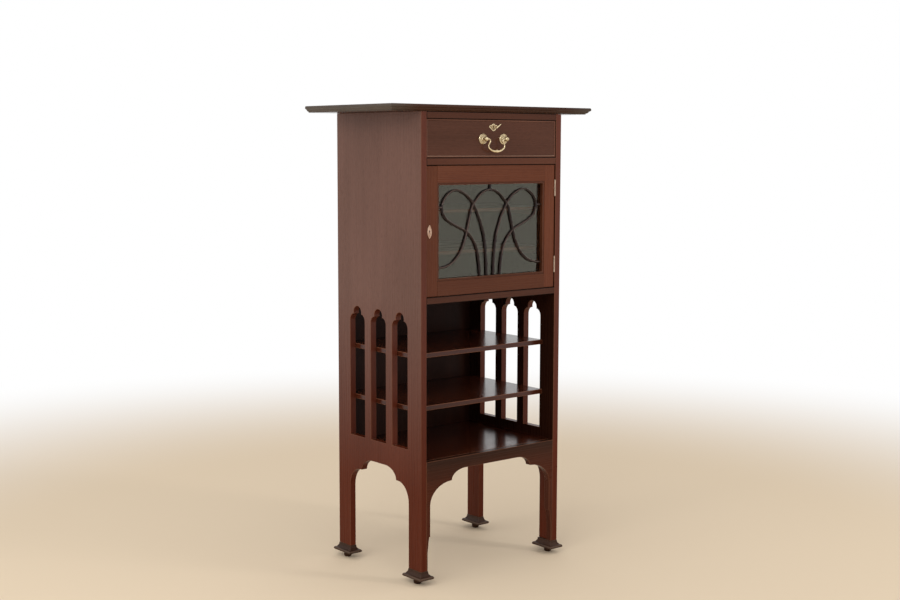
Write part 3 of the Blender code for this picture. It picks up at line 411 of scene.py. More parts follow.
def metal(name, bright, dull, roughness, patches):
    """Metal with handled bright places, and duller ones in its hollows and in soft patches."""
    made = bpy.data.materials.new(name)
    made.use_nodes = True
    tree = made.node_tree
    shader = tree.nodes["Principled BSDF"]
    shader.inputs["Metallic"].default_value = 1.0
    place = tree.nodes.new("ShaderNodeTexCoord")
    shape = tree.nodes.new("ShaderNodeNewGeometry")
    noise = tree.nodes.new("ShaderNodeTexNoise")
    noise.inputs["Scale"].default_value = patches
    noise.inputs["Detail"].default_value = 4.0
    tree.links.new(place.outputs["Object"], noise.inputs["Vector"])
    worn = tree.nodes.new("ShaderNodeMapRange")
    worn.inputs["From Min"].default_value = worn_span[0]
    worn.inputs["From Max"].default_value = worn_span[1]
    tree.links.new(shape.outputs["Pointiness"], worn.inputs["Value"])
    both = tree.nodes.new("ShaderNodeMath")
    both.operation = "MULTIPLY"
    spread = tree.nodes.new("ShaderNodeMapRange")
    spread.inputs["From Min"].default_value = patch_span[0]
    spread.inputs["From Max"].default_value = patch_span[1]
    spread.inputs["To Min"].default_value = patch_least
    tree.links.new(noise.outputs["Fac"], spread.inputs["Value"])
    tree.links.new(worn.outputs["Result"], both.inputs[0])
    tree.links.new(spread.outputs["Result"], both.inputs[1])
    tone = tree.nodes.new("ShaderNodeValToRGB")
    tone.color_ramp.elements[0].color = (*dull, 1)
    tone.color_ramp.elements[1].color = (*bright, 1)
    tree.links.new(both.outputs[0], tone.inputs["Fac"])
    tree.links.new(tone.outputs["Color"], shader.inputs["Base Color"])
    sheen = tree.nodes.new("ShaderNodeMapRange")
    sheen.inputs["To Min"].default_value = roughness + hollow_dulling
    sheen.inputs["To Max"].default_value = roughness
    tree.links.new(both.outputs[0], sheen.inputs["Value"])
    tree.links.new(sheen.outputs["Result"], shader.inputs["Roughness"])
    return made


steel = metal("dull_steel", (0.42, 0.41, 0.39), (0.12, 0.11, 0.10), 0.30, 260)
panel_low, panel_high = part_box("back_panel")
panel_height = panel_high.z - panel_low.z
pin_rows = round(panel_height / pin_spacing)
pin_places = []
for i in range(pin_rows):
    height = panel_low.z + pin_inset + i * (panel_height - 2 * pin_inset) / (pin_rows - 1)
    pin_places += [(panel_low.x + pin_inset, height), (panel_high.x - pin_inset, height)]
pin_shape = [
    (pin_head, 0),
    (pin_head, 0.00025),
    (0.8 * pin_head, 0.0005),
    (0.3 * pin_head, pin_rise),
]
first_pin = turned("back_panel_pins", (0, 0, 0), pin_shape, pin_sides)
pick(first_pin)
bpy.ops.object.mode_set(mode="EDIT")
bpy.ops.mesh.select_all(action="SELECT")
bpy.ops.transform.rotate(value=math.pi, orient_axis="Z", center_override=(0, 0, 0))
bpy.ops.object.mode_set(mode="OBJECT")
pins = []
for pin_x, pin_z in pin_places:
    pin = first_pin.copy()
    pin.data = first_pin.data.copy()
    bpy.context.scene.collection.objects.link(pin)
    pin.location = (pin_x, panel_high.y - pin_rise, pin_z)
    pins.append(pin)
bpy.data.objects.remove(first_pin)
pick(pins[0])
for pin in pins:
    pin.select_set(True)
bpy.ops.object.join()
bpy.ops.object.transform_apply(location=True, rotation=True, scale=True)
pins[0].name = "back_panel_pins"
pins[0].data.materials.append(steel)
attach(pins[0], "cabinet")

# Top board. A wide slab of mahogany with a nose and a small cove worked along both ends and the
# front, screwed down from below. Its grain runs the long way, and its ends are drawn greyer, a
# painted sheen for the room mirrored in them.
top_deep = (0.034, 0.012, 0.006)
top_warm = (0.060, 0.023, 0.012)
end_sheen_deep = (0.058, 0.043, 0.032)
end_sheen_warm = (0.088, 0.067, 0.050)
painted_end_sheen = {
    "tones": (end_sheen_deep, end_sheen_warm),
    "heights": (1.1652, 1.1636),  # the flat face above takes none of the painted sheen
    "reach": (0.240, 0.322),
    "shares": (0.0, 1.0),
}
top_wood = mahogany(
    "top_board_mahogany",
    "X",
    (1.0, 5.5, 7.7),
    top_deep,
    top_warm,
    shine=0.18,
    painted_layers=(painted_end_sheen,),
)
worked("moulded_top", "top_board", (top_wood,), 0)

# Feet. Moulded blocks of darker mahogany round the end of each leg, their eased edges worn and lit
# by a painted highlight, and the upper side of each nose lit by one too, each on a short turned toe
# of the same wood that is let into its underside.
foot_deep = (0.026, 0.011, 0.006)
foot_warm = (0.060, 0.028, 0.016)
# the nose's upper side and the eased edges are drawn lighter: a painted highlight, with wear on the
# edges
foot_highlight_deep = (0.050, 0.028, 0.018)
foot_highlight_warm = (0.120, 0.074, 0.050)
toe_deep = (0.020, 0.008, 0.004)
toe_warm = (0.050, 0.020, 0.009)
foot_arris = 0.0004
nose_rise = (0.0178, 0.0210)  # the upper side of the nose, with its painted highlight, lies between these heights
nose_slope = 0.15  # and looks up at least this much
toe_wood = mahogany("toe_mahogany", "Z", (4.1, 2.9, 8.5), toe_deep, toe_warm, shine=0.40)
foot_wear_and_highlight = mahogany("foot_edge_wear_and_highlight", "X", (1.1, 5.9, 2.5), foot_highlight_deep, foot_highlight_warm, shine=0.34)
foot_start = 0.0
foot_step = 4.3
for end in ("front", "back"):
    for side in ("left", "right"):
        foot_start += foot_step
        start = (foot_start, foot_start, foot_start)
        foot_wood = mahogany(
            f"{end}_{side}_foot_mahogany", "X", start, foot_deep, foot_warm, shine=0.34
        )
        node = f"foot_block_{end}_{side}"
        block = worked(f"{end}_{side}_foot", node, (foot_wood, foot_wear_and_highlight), foot_arris)
        for face in block.data.polygons:
            if nose_rise[0] < face.center.z < nose_rise[1] and face.normal.z > nose_slope:
                face.material_index = 1
        finish(f"glide_{end}_{side}", toe_wood)

# Cupboard shelves. Two thin mahogany boards behind the glass, each laid on a pair of mahogany
# cleats that are fixed to the side boards.
for level in ("lower", "upper"):
    rail_start += start_step
    start = (rail_start, 2 * rail_start, rail_start)
    cupboard_wood = mahogany(f"cupboard_{level}_mahogany", "X", start, rail_deep, rail_warm)
    finish(f"cupboard_shelf_{level}", cupboard_wood)
    for side in ("left", "right"):
        finish(f"shelf_cleat_{level}_{side}", cupboard_wood)

# Drawer. A mahogany front with a cock bead let in round it, on a box of pale lining wood, and two
# small stops on the board under it.
drawer_deep = (0.066, 0.024, 0.013)
drawer_warm = (0.102, 0.037, 0.021)
bead_deep = (0.086, 0.032, 0.018)
bead_warm = (0.150, 0.062, 0.038)
bead_highlight_deep = (0.260, 0.145, 0.098)
bead_highlight_warm = (0.380, 0.235, 0.165)
lining_deep = (0.300, 0.165, 0.085)
lining_warm = (0.460, 0.290, 0.160)
bead_round = 0.0011
bead_run = 0.006  # the bead's bottom run, whose upper arris takes a painted highlight, ends below this
bead_slope = 0.2
front_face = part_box("drawer_front")[0].y
drawer_wood = mahogany("drawer_front_mahogany", "X", (4.4, 3.1, 0.7), drawer_deep, drawer_warm)
bead_wood = mahogany("cock_bead_mahogany", "X", (6.4, 1.1, 2.7), bead_deep, bead_warm)
finish("drawer_front", drawer_wood)
painted_bead_highlight = mahogany("painted_bead_highlight", "X", (7.4, 2.1, 3.7), bead_highlight_deep, bead_highlight_warm)
cock_bead = worked(
    "drawer_cock_bead_rounded", "drawer_cock_bead", (bead_wood, painted_bead_highlight), bead_round
)
bead_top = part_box("drawer_cock_bead")[0].z + bead_run
# the upper arris of the bead's bottom run keeps the painted highlight
for face in cock_bead.data.polygons:
    if face.center.z > bead_top or face.normal.z < bead_slope or face.center.y > front_face:
        face.material_index = 0
across_lining = mahogany(
    "drawer_lining_across", "X", (0.4, 7.1, 8.7), lining_deep, lining_warm, shine=0.5
)
along_lining = mahogany(
    "drawer_lining_along", "Y", (3.4, 0.1, 4.7), lining_deep, lining_warm, shine=0.5
)
finish("drawer_bottom", across_lining)
finish("drawer_back", across_lining)
for side in ("left", "right"):
    finish(f"drawer_side_{side}", along_lining)
    finish(f"drawer_stop_{side}", drawer_wood)

# Handle posts. A cast brass rosette with petals, a neck and a round knob in one, bolted through
# the drawer front, with a nut inside.
brass = metal("aged_brass", (0.94, 0.77, 0.48), (0.15, 0.09, 0.038), 0.18, 180)
patina = metal("brass_patina", (0.50, 0.36, 0.20), (0.14, 0.085, 0.04), 0.34, 240)
rosette_sides = 80
rim_shape = ((0.0, 0.0003), (0.0, 0.0011), (0.0005, 0.0017), (0.0012, 0.0018), (0.0018, 0.0013))
petal_count = 10
petal_rise = 0.0013
petal_hollow = 0.4
petal_ring = (0.0062, 0.0108)  # radii between which the petals stand
petal_back = 0.0008
dome_heights = (0.0014, 0.0032)
dome_steps = 9
neck_shape = ((0.0056, 0.0042), (0.0046, 0.0048), (0.0036, 0.0052), (0.0034, 0.0056))
knob_radius = 0.0058
knob_stand = 0.013
knob_from, knob_sweep = -50, 137  # degrees
knob_steps = 12
bolt_radius = 0.0019
bolt_slack = 0.0001  # left free at the bolt's end
socket_radius = 0.0022
socket_depth = 0.012
socket_reach = 0.0075


def raise_petals(piece, centre):
    """Raises the petals on a rosette whose middle is given."""
    low, high = petal_ring
    for point in piece.data.vertices:
        across, up = point.co.x - centre[0], point.co.z - centre[2]
        reach = math.hypot(across, up)
        forward = centre[1] - point.co.y
        if low < reach < high and petal_back < forward < knob_stand / 2:
            turn = math.atan2(up, across)
            swell = math.sin(math.pi * (reach - low) / (high - low))
            petal = abs(math.cos(petal_count / 2 * turn)) - petal_hollow
            point.co.y -= petal_rise * swell * petal


for side in ("left", "right"):
    low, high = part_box(f"handle_post_{side}")
    centre = Vector(((low.x + high.x) / 2, front_face, (low.z + high.z) / 2))
    rim = (high.x - low.x) / 2
    outline = [(bolt_radius, front_face - high.y + bolt_slack), (bolt_radius, rim_shape[0][1])]
    outline += [(rim - inset, rise) for inset, rise in rim_shape]
    for i in range(dome_steps + 1):
        reach = petal_ring[1] + (petal_ring[0] - petal_ring[1]) * i / dome_steps
        rise = dome_heights[0] + (dome_heights[1] - dome_heights[0]) * i / dome_steps
        outline.append((reach, rise))
    outline += neck_shape
    for i in range(knob_steps + 1):
        turn = math.radians(knob_from + knob_sweep * i / knob_steps)
        outline.append((knob_radius * math.cos(turn), knob_stand + knob_radius * math.sin(turn)))
    post = turned(f"rosette_and_knob_{side}", centre, outline, rosette_sides)
    raise_petals(post, centre)
    inward = -1 if centre.x > 0 else 1
    bpy.ops.object.select_all(action="DESELECT")
    bpy.ops.mesh.primitive_cylinder_add(
        radius=socket_radius,
        depth=socket_depth,
        location=centre + Vector((inward * socket_reach, -knob_stand, 0)),
        rotation=(0, math.pi / 2, 0),
    )
    socket = bpy.context.object
    bore = post.modifiers.new("bail_socket", "BOOLEAN")
    bore.object = socket
    bore.solver = "EXACT"
    pick(post)
    bpy.ops.object.modifier_apply(modifier="bail_socket")
    bpy.data.objects.remove(socket)
    bpy.ops.object.shade_smooth_by_angle(angle=smooth_angle)
    dressed(post, f"handle_post_{side}", brass)
    worked(f"handle_nut_worn_{side}", f"handle_nut_{side}", (brass,), 0)

# Bail. A swan-neck drop handle, cast in brass, with its ends turned into the knobs, a thicker grip
# and a small point on top of the grip.
bail_points = (
    (1.25, 0.0, 0.0018),
    (1.02, 0.0, 0.0018),
    (0.87, 0.04, 0.0019),
    (0.80, 0.16, 0.0020),
    (0.90, 0.34, 0.0018),
    (1.0, 0.52, 0.0018),
    (0.98, 0.68, 0.0019),
    (0.80, 0.82, 0.0021),
    (0.48, 0.95, 0.0025),
    (0.18, 0.99, 0.0030),
    (0.0, 1.0, 0.0031),
)  # across and down as shares, then the radius
bail_half_width = 0.0256
bail_drop = 0.0304
nib_rise = 0.0022
nib_reach = 0.004
grip_radius = bail_points[-1][2]
curve_gap = 0.00001
post_low, post_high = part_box("handle_post_left")
bail_z = (post_low.z + post_high.z) / 2
bail_y = front_face - knob_stand
bail_line = [(bail_half_width * u, bail_z - bail_drop * v, r) for u, v, r in bail_points]
bail_line += [(-x, z, r) for x, z, r in reversed(bail_line[:-1])]
bpy.ops.object.select_all(action="DESELECT")
bpy.ops.curve.primitive_bezier_curve_add(location=(0, 0, 0))
bail = bpy.context.object
bail.name = "swan_neck_bail"
bail.data.bevel_depth = 1.0
bail.data.bevel_resolution = 6
bail.data.resolution_u = 8
bail.data.use_fill_caps = True
spline = bail.data.splines[0]
spline.bezier_points.add(len(bail_line) - 2)
for knot, (x, z, r) in zip(spline.bezier_points, bail_line):
    knot.co = (x, bail_y, z)
    knot.radius = r
    knot.handle_left_type = "AUTO"
    knot.handle_right_type = "AUTO"
pick(bail)
bpy.ops.object.convert(target="MESH")
bail = bpy.context.object
bpy.ops.object.mode_set(mode="EDIT")
bpy.ops.mesh.select_all(action="SELECT")
bpy.ops.mesh.remove_doubles(threshold=curve_gap)
bpy.ops.mesh.normals_make_consistent(inside=False)
bpy.ops.object.mode_set(mode="OBJECT")
grip_z = bail_z - bail_drop
for point in bail.data.vertices:
    above = point.co.z - grip_z
    if above > 0 and abs(point.co.x) < nib_reach:
        point.co.z += nib_rise * (1 - abs(point.co.x) / nib_reach) ** 2 * above / grip_radius
bpy.ops.object.shade_smooth_by_angle(angle=smooth_angle)
dressed(bail, "handle_bail", brass)

# Drawer escutcheon. A small cast brass shield with a sunk field and a scrolled top, pinned to the
# drawer front over the lock. A long cover, pinned to it, swings over the keyhole.
shield_half = (
    (0.0, 1.0),
    (0.16, 0.98),
    (0.30, 0.86),
    (0.40, 0.66),
    (0.52, 0.60),
    (0.66, 0.64),
    (0.80, 0.60),
    (0.93, 0.44),
    (1.0, 0.22),
    (0.94, 0.02),
    (0.82, -0.10),
    (0.70, -0.20),
    (0.60, -0.38),
    (0.44, -0.62),
    (0.24, -0.82),
    (0.10, -0.92),
    (0.0, -1.0),
)
plate_rim = 0.0009
plate_sunk = 0.00025
rim_parts = (0.35, 0.35, 0.30)  # shares of the rim that rise, run flat and fall to the field
keyhole_radius = 0.0019
keyhole_height = 0.0075
keyhole_slot = 0.0018
keyhole_sides = 24
pierced_past = 0.002
cast_arris = 0.0002
case_arris = 0.0003


def plate(name, node, half, rim, finishes):
    """A cast plate in its CAD node's box: an outline as shares of the half width and half height,
    given thickness, its field sunk inside a rim. The field takes the second of its finishes."""
    low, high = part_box(node)
    middle = (low + high) / 2
    across, up = (high.x - low.x) / 2, (high.z - low.z) / 2
    edge = [(across * u, up * v) for u, v in half]
    edge += [(-x, z) for x, z in reversed(edge[1:-1])]
    bpy.ops.object.select_all(action="DESELECT")
    bpy.ops.mesh.primitive_circle_add(vertices=len(edge), radius=across, fill_type="NGON")
    piece = bpy.context.object
    piece.name = name
    for point, (x, z) in zip(piece.data.vertices, reversed(edge)):
        point.co = (middle.x + x, high.y, middle.z + z)
    bpy.ops.object.mode_set(mode="EDIT")
    bpy.ops.mesh.select_all(action="SELECT")
    bpy.ops.mesh.normals_make_consistent(inside=False)
    bpy.ops.object.mode_set(mode="OBJECT")
    if piece.data.polygons[0].normal.y > 0:
        bpy.ops.object.mode_set(mode="EDIT")
        bpy.ops.mesh.flip_normals()
        bpy.ops.object.mode_set(mode="OBJECT")
    bpy.ops.object.mode_set(mode="EDIT")
    forward = (0, low.y - high.y + plate_sunk, 0)
    bpy.ops.mesh.extrude_region_move(TRANSFORM_OT_translate={"value": forward})
    for part, rise in zip(rim_parts, (plate_sunk, 0, -plate_sunk)):
        bpy.ops.mesh.inset(thickness=rim * part, depth=rise)
    bpy.ops.object.mode_set(mode="OBJECT")
    for material in finishes:
        piece.data.materials.append(material)
    for face in piece.data.polygons:
        face.material_index = int(face.select)
    bpy.ops.object.mode_set(mode="EDIT")
    bpy.ops.mesh.select_all(action="SELECT")
    bpy.ops.mesh.normals_make_consistent(inside=False)
    bpy.ops.object.mode_set(mode="OBJECT")
    return piece


def pierce_keyhole(piece, node):
    """Cuts a keyhole, a round hole with a slot below it, in the middle of a plate."""
    low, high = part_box(node)
    middle = (low + high) / 2
    depth = high.y - low.y + 2 * pierced_past
    top = middle.z + keyhole_height / 2
    slot_middle = top - (keyhole_radius + keyhole_height) / 2
    for round_hole in (True, False):
        bpy.ops.object.select_all(action="DESELECT")
        if round_hole:
            bpy.ops.mesh.primitive_cylinder_add(
                vertices=keyhole_sides,
                radius=keyhole_radius,
                depth=depth,
                location=(middle.x, middle.y, top - keyhole_radius),
                rotation=(math.pi / 2, 0, 0),
            )
        else:
            bpy.ops.mesh.primitive_cube_add(size=1, location=(middle.x, middle.y, slot_middle))
            bpy.context.object.scale = (keyhole_slot, depth, keyhole_height - keyhole_radius)
        cutter = bpy.context.object
        hole = piece.modifiers.new("keyhole", "BOOLEAN")
        hole.object = cutter
        hole.solver = "EXACT"
        pick(piece)
        bpy.ops.object.modifier_apply(modifier="keyhole")
        bpy.data.objects.remove(cutter)
    bpy.ops.object.shade_smooth_by_angle(angle=smooth_angle)


shield_metals = (brass, patina)
shield = plate(
    "drawer_keyhole_shield", "drawer_escutcheon", shield_half, 2 * plate_rim, shield_metals
)
pierce_keyhole(shield, "drawer_escutcheon")
dressed(shield, "drawer_escutcheon", *shield_metals)
worked("keyhole_cover_bar", "keyhole_cover", (brass,), cast_arris)
worked("keyhole_cover_rivet", "cover_rivet", (brass,), 0)
worked("drawer_lock_case", "drawer_lock", (brass,), case_arris)

# Door frame. Two stiles and two rails of redder mahogany with mortise and tenon joints, rebated at
# the back for the glass. A small stop stands behind it.
door_deep = (0.094, 0.025, 0.010)
door_warm = (0.136, 0.041, 0.017)
door_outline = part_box("door_stile_lock")[0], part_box("door_stile_hinge")[1]
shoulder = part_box("door_stile_hinge")[0].x  # the rails meet the stiles here
shoulder_slack = 0.0006
door_parts = (
    ("door_stile_lock", "Z", (1.4, 6.6, 3.5), 0.92),
    ("door_stile_hinge", "Z", (8.3, 2.4, 9.9), 1.22),
    ("door_rail_top", "X", (3.9, 9.4, 1.3), 1.06),
    ("door_rail_bottom", "X", (7.2, 4.9, 6.4), 0.74),
)  # the node, its grain, where its figure starts and how light it is drawn, the bottom rail darker as painted shade


def away_from_rim(*ends):
    """True for an edge that isn't on the outside of the door."""
    low, high = door_outline
    middle = (ends[0] + ends[1]) / 2
    off_side = low.x + board_arris < middle.x < high.x - board_arris
    off_end = low.z + board_arris < middle.z < high.z - board_arris
    run = ends[0] - ends[1]
    if off_side:
        return off_end or abs(middle.x) > shoulder - shoulder_slack or abs(run.x) < board_arris
    return abs(run.z) < hinge_reach or middle.y > low.y + board_arris


for node, grain, start, light in door_parts:
    tones = [[light * share for share in tone] for tone in (door_deep, door_warm)]
    door_wood = mahogany(f"{node}_mahogany", grain, start, *tones)
    frame_part = worked(f"{node}_jointed", node, (door_wood,), board_arris, away_from_rim)
    if grain == "X":
        for point in frame_part.data.vertices:
            if 0 < shoulder - abs(point.co.x) < shoulder_slack:
                point.co.x = math.copysign(shoulder - merge_gap, point.co.x)
finish("door_stop", drawer_wood)

# Door moulding. A square-edged slip of mahogany round the light, let in just behind the frame's
# face, with its inside running back to the glass.
slip_deep = (0.050, 0.014, 0.006)
slip_warm = (0.092, 0.028, 0.012)
slip_arris = 0.0006
slip_wood = mahogany("door_slip_mahogany", "X", (5.5, 5.1, 5.3), slip_deep, slip_warm)
worked("door_light_moulding", "door_moulding", (slip_wood, wear_and_highlight_wood), slip_arris)
finish("door_glazing_bead", slip_wood)

# Curved glazing bars. Slender moulded bars of dark mahogany, drawn near black as painted shade and
# lit on their crowns by a painted highlight, bent to shape, halved where they cross and let into
# the moulding, in front of one pane.
arch_bar = (
    (0.0, 0.941),
    (0.151, 0.908),
    (0.262, 0.834),
    (0.346, 0.760),
    (0.387, 0.657),
    (0.436, 0.520),
    (0.485, 0.395),
    (0.564, 0.275),
    (0.666, 0.188),
    (0.785, 0.135),
    (0.930, 0.112),
    (1.05, 0.110),
)
loop_bar = (
    (0.188, -0.04),
    (0.223, 0.203),
    (0.273, 0.328),
    (0.358, 0.426),
    (0.451, 0.491),
    (0.605, 0.546),
    (0.756, 0.600),
    (0.862, 0.664),
    (0.906, 0.760),
    (0.878, 0.831),
    (0.788, 0.903),
    (0.657, 0.943),
    (0.492, 0.904),
    (0.360, 0.825),
    (0.308, 0.770),
    (0.230, 0.668),
    (0.163, 0.541),
    (0.116, 0.432),
    (0.093, 0.314),
    (0.073, 0.170),
    (0.064, -0.04),
)
# the bars' own tone is drawn near black as painted shade, and their crowns lighter as a painted
# highlight
bar_deep = (0.006, 0.002, 0.001)
bar_warm = (0.020, 0.006, 0.004)
bar_highlight_deep = (0.100, 0.055, 0.038)
bar_highlight_warm = (0.260, 0.170, 0.125)
highlight_facing = (-0.97, -0.75)  # how far the faces with the painted highlight on a bar's crown look forward
highlight_lift = 0.12  # and upwards
bar_half = 0.0026
bar_back = 0.0029  # half the width of the bar's square back
bar_square = -0.0003  # where the square back ends
bar_bead = 0.0021  # radius of the bead on its front
bead_centre = 0.0005
bead_steps = 8
trim_past = 0.01
fret_low, fret_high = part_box("door_fretwork")
light_half = fret_high.x
light_height = fret_high.z - fret_low.z
bar_y = (fret_low.y + fret_high.y) / 2
bar_section = [(-bar_back, -bar_half), (bar_back, -bar_half), (bar_back, bar_square)]
bar_section += [(bar_bead, 0)]
for i in range(bead_steps + 1):
    turn = math.pi * i / bead_steps
    bar_section.append((bar_bead * math.cos(turn), bead_centre + bar_bead * math.sin(turn)))
bar_section += [(-bar_bead, 0), (-bar_back, bar_square)]
section_curve = bpy.data.curves.new("bar_section", "CURVE")
section_curve.dimensions = "2D"
section_line = section_curve.splines.new("POLY")
section_line.points.add(len(bar_section) - 1)
for point, (u, v) in zip(section_line.points, bar_section):
    point.co = (u, v, 0, 1)
section_line.use_cyclic_u = True
section_object = bpy.data.objects.new("bar_section", section_curve)
bpy.context.scene.collection.objects.link(section_object)


def glazing_bar(shares):
    """One bar along a smooth line through shares of the light's half width and height."""
    curve = bpy.data.curves.new("glazing_bar", "CURVE")
    curve.dimensions = "2D"
    curve.fill_mode = "NONE"
    curve.resolution_u = 6
    curve.bevel_mode = "OBJECT"
    curve.bevel_object = section_object
    curve.use_fill_caps = True
    line = curve.splines.new("BEZIER")
    line.bezier_points.add(len(shares) - 1)
    for knot, (u, v) in zip(line.bezier_points, shares):
        knot.co = (light_half * u, fret_low.z + light_height * v, 0)
        knot.handle_left_type = "AUTO"
        knot.handle_right_type = "AUTO"
    bar = bpy.data.objects.new("glazing_bar", curve)
    bpy.context.scene.collection.objects.link(bar)
    bar.rotation_euler = (math.pi / 2, 0, 0)
    bar.location = (0, bar_y, 0)
    pick(bar)
    bpy.ops.object.convert(target="MESH")
    bar = bpy.context.object
    bpy.ops.object.transform_apply(location=True, rotation=True, scale=True)
    bpy.ops.object.mode_set(mode="EDIT")
    bpy.ops.mesh.select_all(action="SELECT")
    bpy.ops.mesh.remove_doubles(threshold=curve_gap)
    bpy.ops.mesh.normals_make_consistent(inside=False)
    bpy.ops.object.mode_set(mode="OBJECT")
    return bar


fretwork = glazing_bar([(-u, v) for u, v in reversed(arch_bar[1:])] + list(arch_bar))
fretwork.name = "curved_glazing_bars"
others = [glazing_bar([(0.0, 0.925), (0.0, 1.05)])]
for side in (-1, 1):
    others.append(glazing_bar([(side * u, v) for u, v in loop_bar]))
    others.append(glazing_bar([(side * u, 0.760) for u in (0.906, 1.05)]))
for other in others:
    halving = fretwork.modifiers.new("halving", "BOOLEAN")
    halving.operation = "UNION"
    halving.object = other
    halving.solver = "MANIFOLD"
    pick(fretwork)
    bpy.ops.object.modifier_apply(modifier="halving")
    bpy.data.objects.remove(other)
bpy.data.objects.remove(section_object)
bpy.ops.object.select_all(action="DESELECT")
bpy.ops.mesh.primitive_cube_add(size=1, location=(fret_low + fret_high) / 2)
opening = bpy.context.object
opening.scale = fret_high - fret_low + Vector((0, trim_past, 0))
trimmed = fretwork.modifiers.new("trimmed", "BOOLEAN")
trimmed.operation = "INTERSECT"
trimmed.object = opening
trimmed.solver = "MANIFOLD"
pick(fretwork)
bpy.ops.object.modifier_apply(modifier="trimmed")
bpy.data.objects.remove(opening)
bpy.ops.object.shade_smooth_by_angle(angle=smooth_angle)
bar_wood = mahogany(
    "glazing_bar_mahogany", "Z", (2.8, 8.8, 1.9), bar_deep, bar_warm, shine=0.16, gloss=0.35
)
bar_highlight_wood = mahogany(
    "painted_bar_highlight", "Z", (6.8, 1.8, 5.9), bar_highlight_deep, bar_highlight_warm, shine=0.16, gloss=0.35
)
dressed(fretwork, "door_fretwork", bar_wood, bar_highlight_wood)
# the crown's faces that look forward and up take the painted highlight
for face in fretwork.data.polygons:
    facing = highlight_facing[0] < face.normal.y < highlight_facing[1] and face.normal.z > highlight_lift
    if facing and face.center.y < bar_y - bar_bead / 2:
        face.material_index = 1

# Pane. One sheet of old window glass, faintly green and not quite flat. It lies in the rebate at
# the back of the frame and is held there by the glazing bead.
pane = bpy.data.materials.new("pane_glass")
pane.use_nodes = True
pane_shader = pane.node_tree.nodes["Principled BSDF"]
pane_shader.inputs["Base Color"].default_value = (0.86, 0.91, 0.84, 1)
pane_shader.inputs["Specular Tint"].default_value = (1.0, 0.93, 0.76, 1)
pane_shader.inputs["Specular IOR Level"].default_value = 0.6
pane_shader.inputs["Transmission Weight"].default_value = 1.0
pane_shader.inputs["Roughness"].default_value = 0.02
pane_shader.inputs["IOR"].default_value = 1.5
pane_place = pane.node_tree.nodes.new("ShaderNodeTexCoord")
pane_wave = pane.node_tree.nodes.new("ShaderNodeTexNoise")
pane_wave.inputs["Scale"].default_value = 14.0
pane_relief = pane.node_tree.nodes.new("ShaderNodeBump")
pane_relief.inputs["Strength"].default_value = 0.012
pane_relief.inputs["Distance"].default_value = 0.002
pane.node_tree.links.new(pane_place.outputs["Object"], pane_wave.inputs["Vector"])
pane.node_tree.links.new(pane_wave.outputs["Fac"], pane_relief.inputs["Height"])
pane.node_tree.links.new(pane_relief.outputs["Normal"], pane_shader.inputs["Normal"])
finish("door_glass", pane)

# Door escutcheon and lock. A small pointed plate of coppery brass on the left stile, and a steel
# lock screwed on behind it.
lozenge_half = (
    (0.0, 1.0),
    (0.20, 0.90),
    (0.38, 0.80),
    (0.52, 0.70),
    (0.74, 0.54),
    (0.90, 0.34),
    (1.0, 0.08),
    (1.0, -0.10),
    (0.90, -0.36),
    (0.74, -0.56),
    (0.52, -0.72),
    (0.38, -0.82),
    (0.20, -0.92),
    (0.0, -1.0),
)
copper_brass = metal("coppery_brass", (0.82, 0.58, 0.42), (0.26, 0.14, 0.08), 0.22, 200)
copper_field = metal("dull_coppery_brass", (0.66, 0.45, 0.33), (0.30, 0.17, 0.11), 0.30, 200)
lozenge_metals = (copper_brass, copper_field)
lozenge = plate("door_keyhole_plate", "door_escutcheon", lozenge_half, plate_rim, lozenge_metals)
pierce_keyhole(lozenge, "door_escutcheon")
dressed(lozenge, "door_escutcheon", *lozenge_metals)
worked("door_lock_case", "door_lock", (steel,), case_arris)

# Hinges. Two brass butts let into the frame and the door, each with a loose pin, and with three
# countersunk brass screws a leaf, their slots turned any way.
screw_radius = 0.0021
screw_proud = 0.00015
screw_sides = 32
screw_offs = (-0.001, 0.002, -0.001)  # how far each screw of a leaf stands back from its middle
slot_width = 0.0005
slot_turns = (0.5, 1.4, 2.3)
hinge_brass = metal("dull_hinge_brass", (0.50, 0.36, 0.26), (0.20, 0.13, 0.09), 0.35, 150)
for level in ("lower", "upper"):
    for part in ("frame_leaf", "door_leaf", "pin"):
        worked(f"{level}_hinge_{part}", f"hinge_{level}_{part}", (hinge_brass,), 0)
    frame_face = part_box("side_board_right")[0].x
    for part, face_x in (("frame_leaf", frame_face), ("door_leaf", door_outline[1].x)):
        low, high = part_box(f"hinge_{level}_{part}")
        screw_y = (door_outline[0].y + high.y) / 2
        screws = []
        for i, (off, turn) in enumerate(zip(screw_offs, slot_turns)):
            share = (i + 0.5) / len(screw_offs)
            bpy.ops.object.select_all(action="DESELECT")
            bpy.ops.mesh.primitive_cylinder_add(
                vertices=screw_sides,
                radius=screw_radius,
                depth=2 * screw_proud,
                location=(face_x, screw_y + off, low.z + share * (high.z - low.z)),
                rotation=(0, math.pi / 2, 0),
            )
            screw = bpy.context.object
            bpy.ops.mesh.primitive_cube_add(
                size=1, location=screw.location, rotation=(turn + share, 0, 0)
            )
            slot = bpy.context.object
            slot.scale = (4 * screw_proud, slot_width, 3 * screw_radius)
            cut = screw.modifiers.new("slot", "BOOLEAN")
            cut.object = slot
            cut.solver = "EXACT"
            pick(screw)
            bpy.ops.object.modifier_apply(modifier="slot")
            bpy.data.objects.remove(slot)
            screws.append(screw)
        pick(screws[0])
        for screw in screws:
            screw.select_set(True)
        bpy.ops.object.join()
        bpy.ops.object.transform_apply(location=True, rotation=True, scale=True)
        screws[0].name = f"{level}_hinge_{part}_screws"
        screws[0].data.materials.append(hinge_brass)
        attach(screws[0], nodes[f"hinge_{level}_{part}"]["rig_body"])

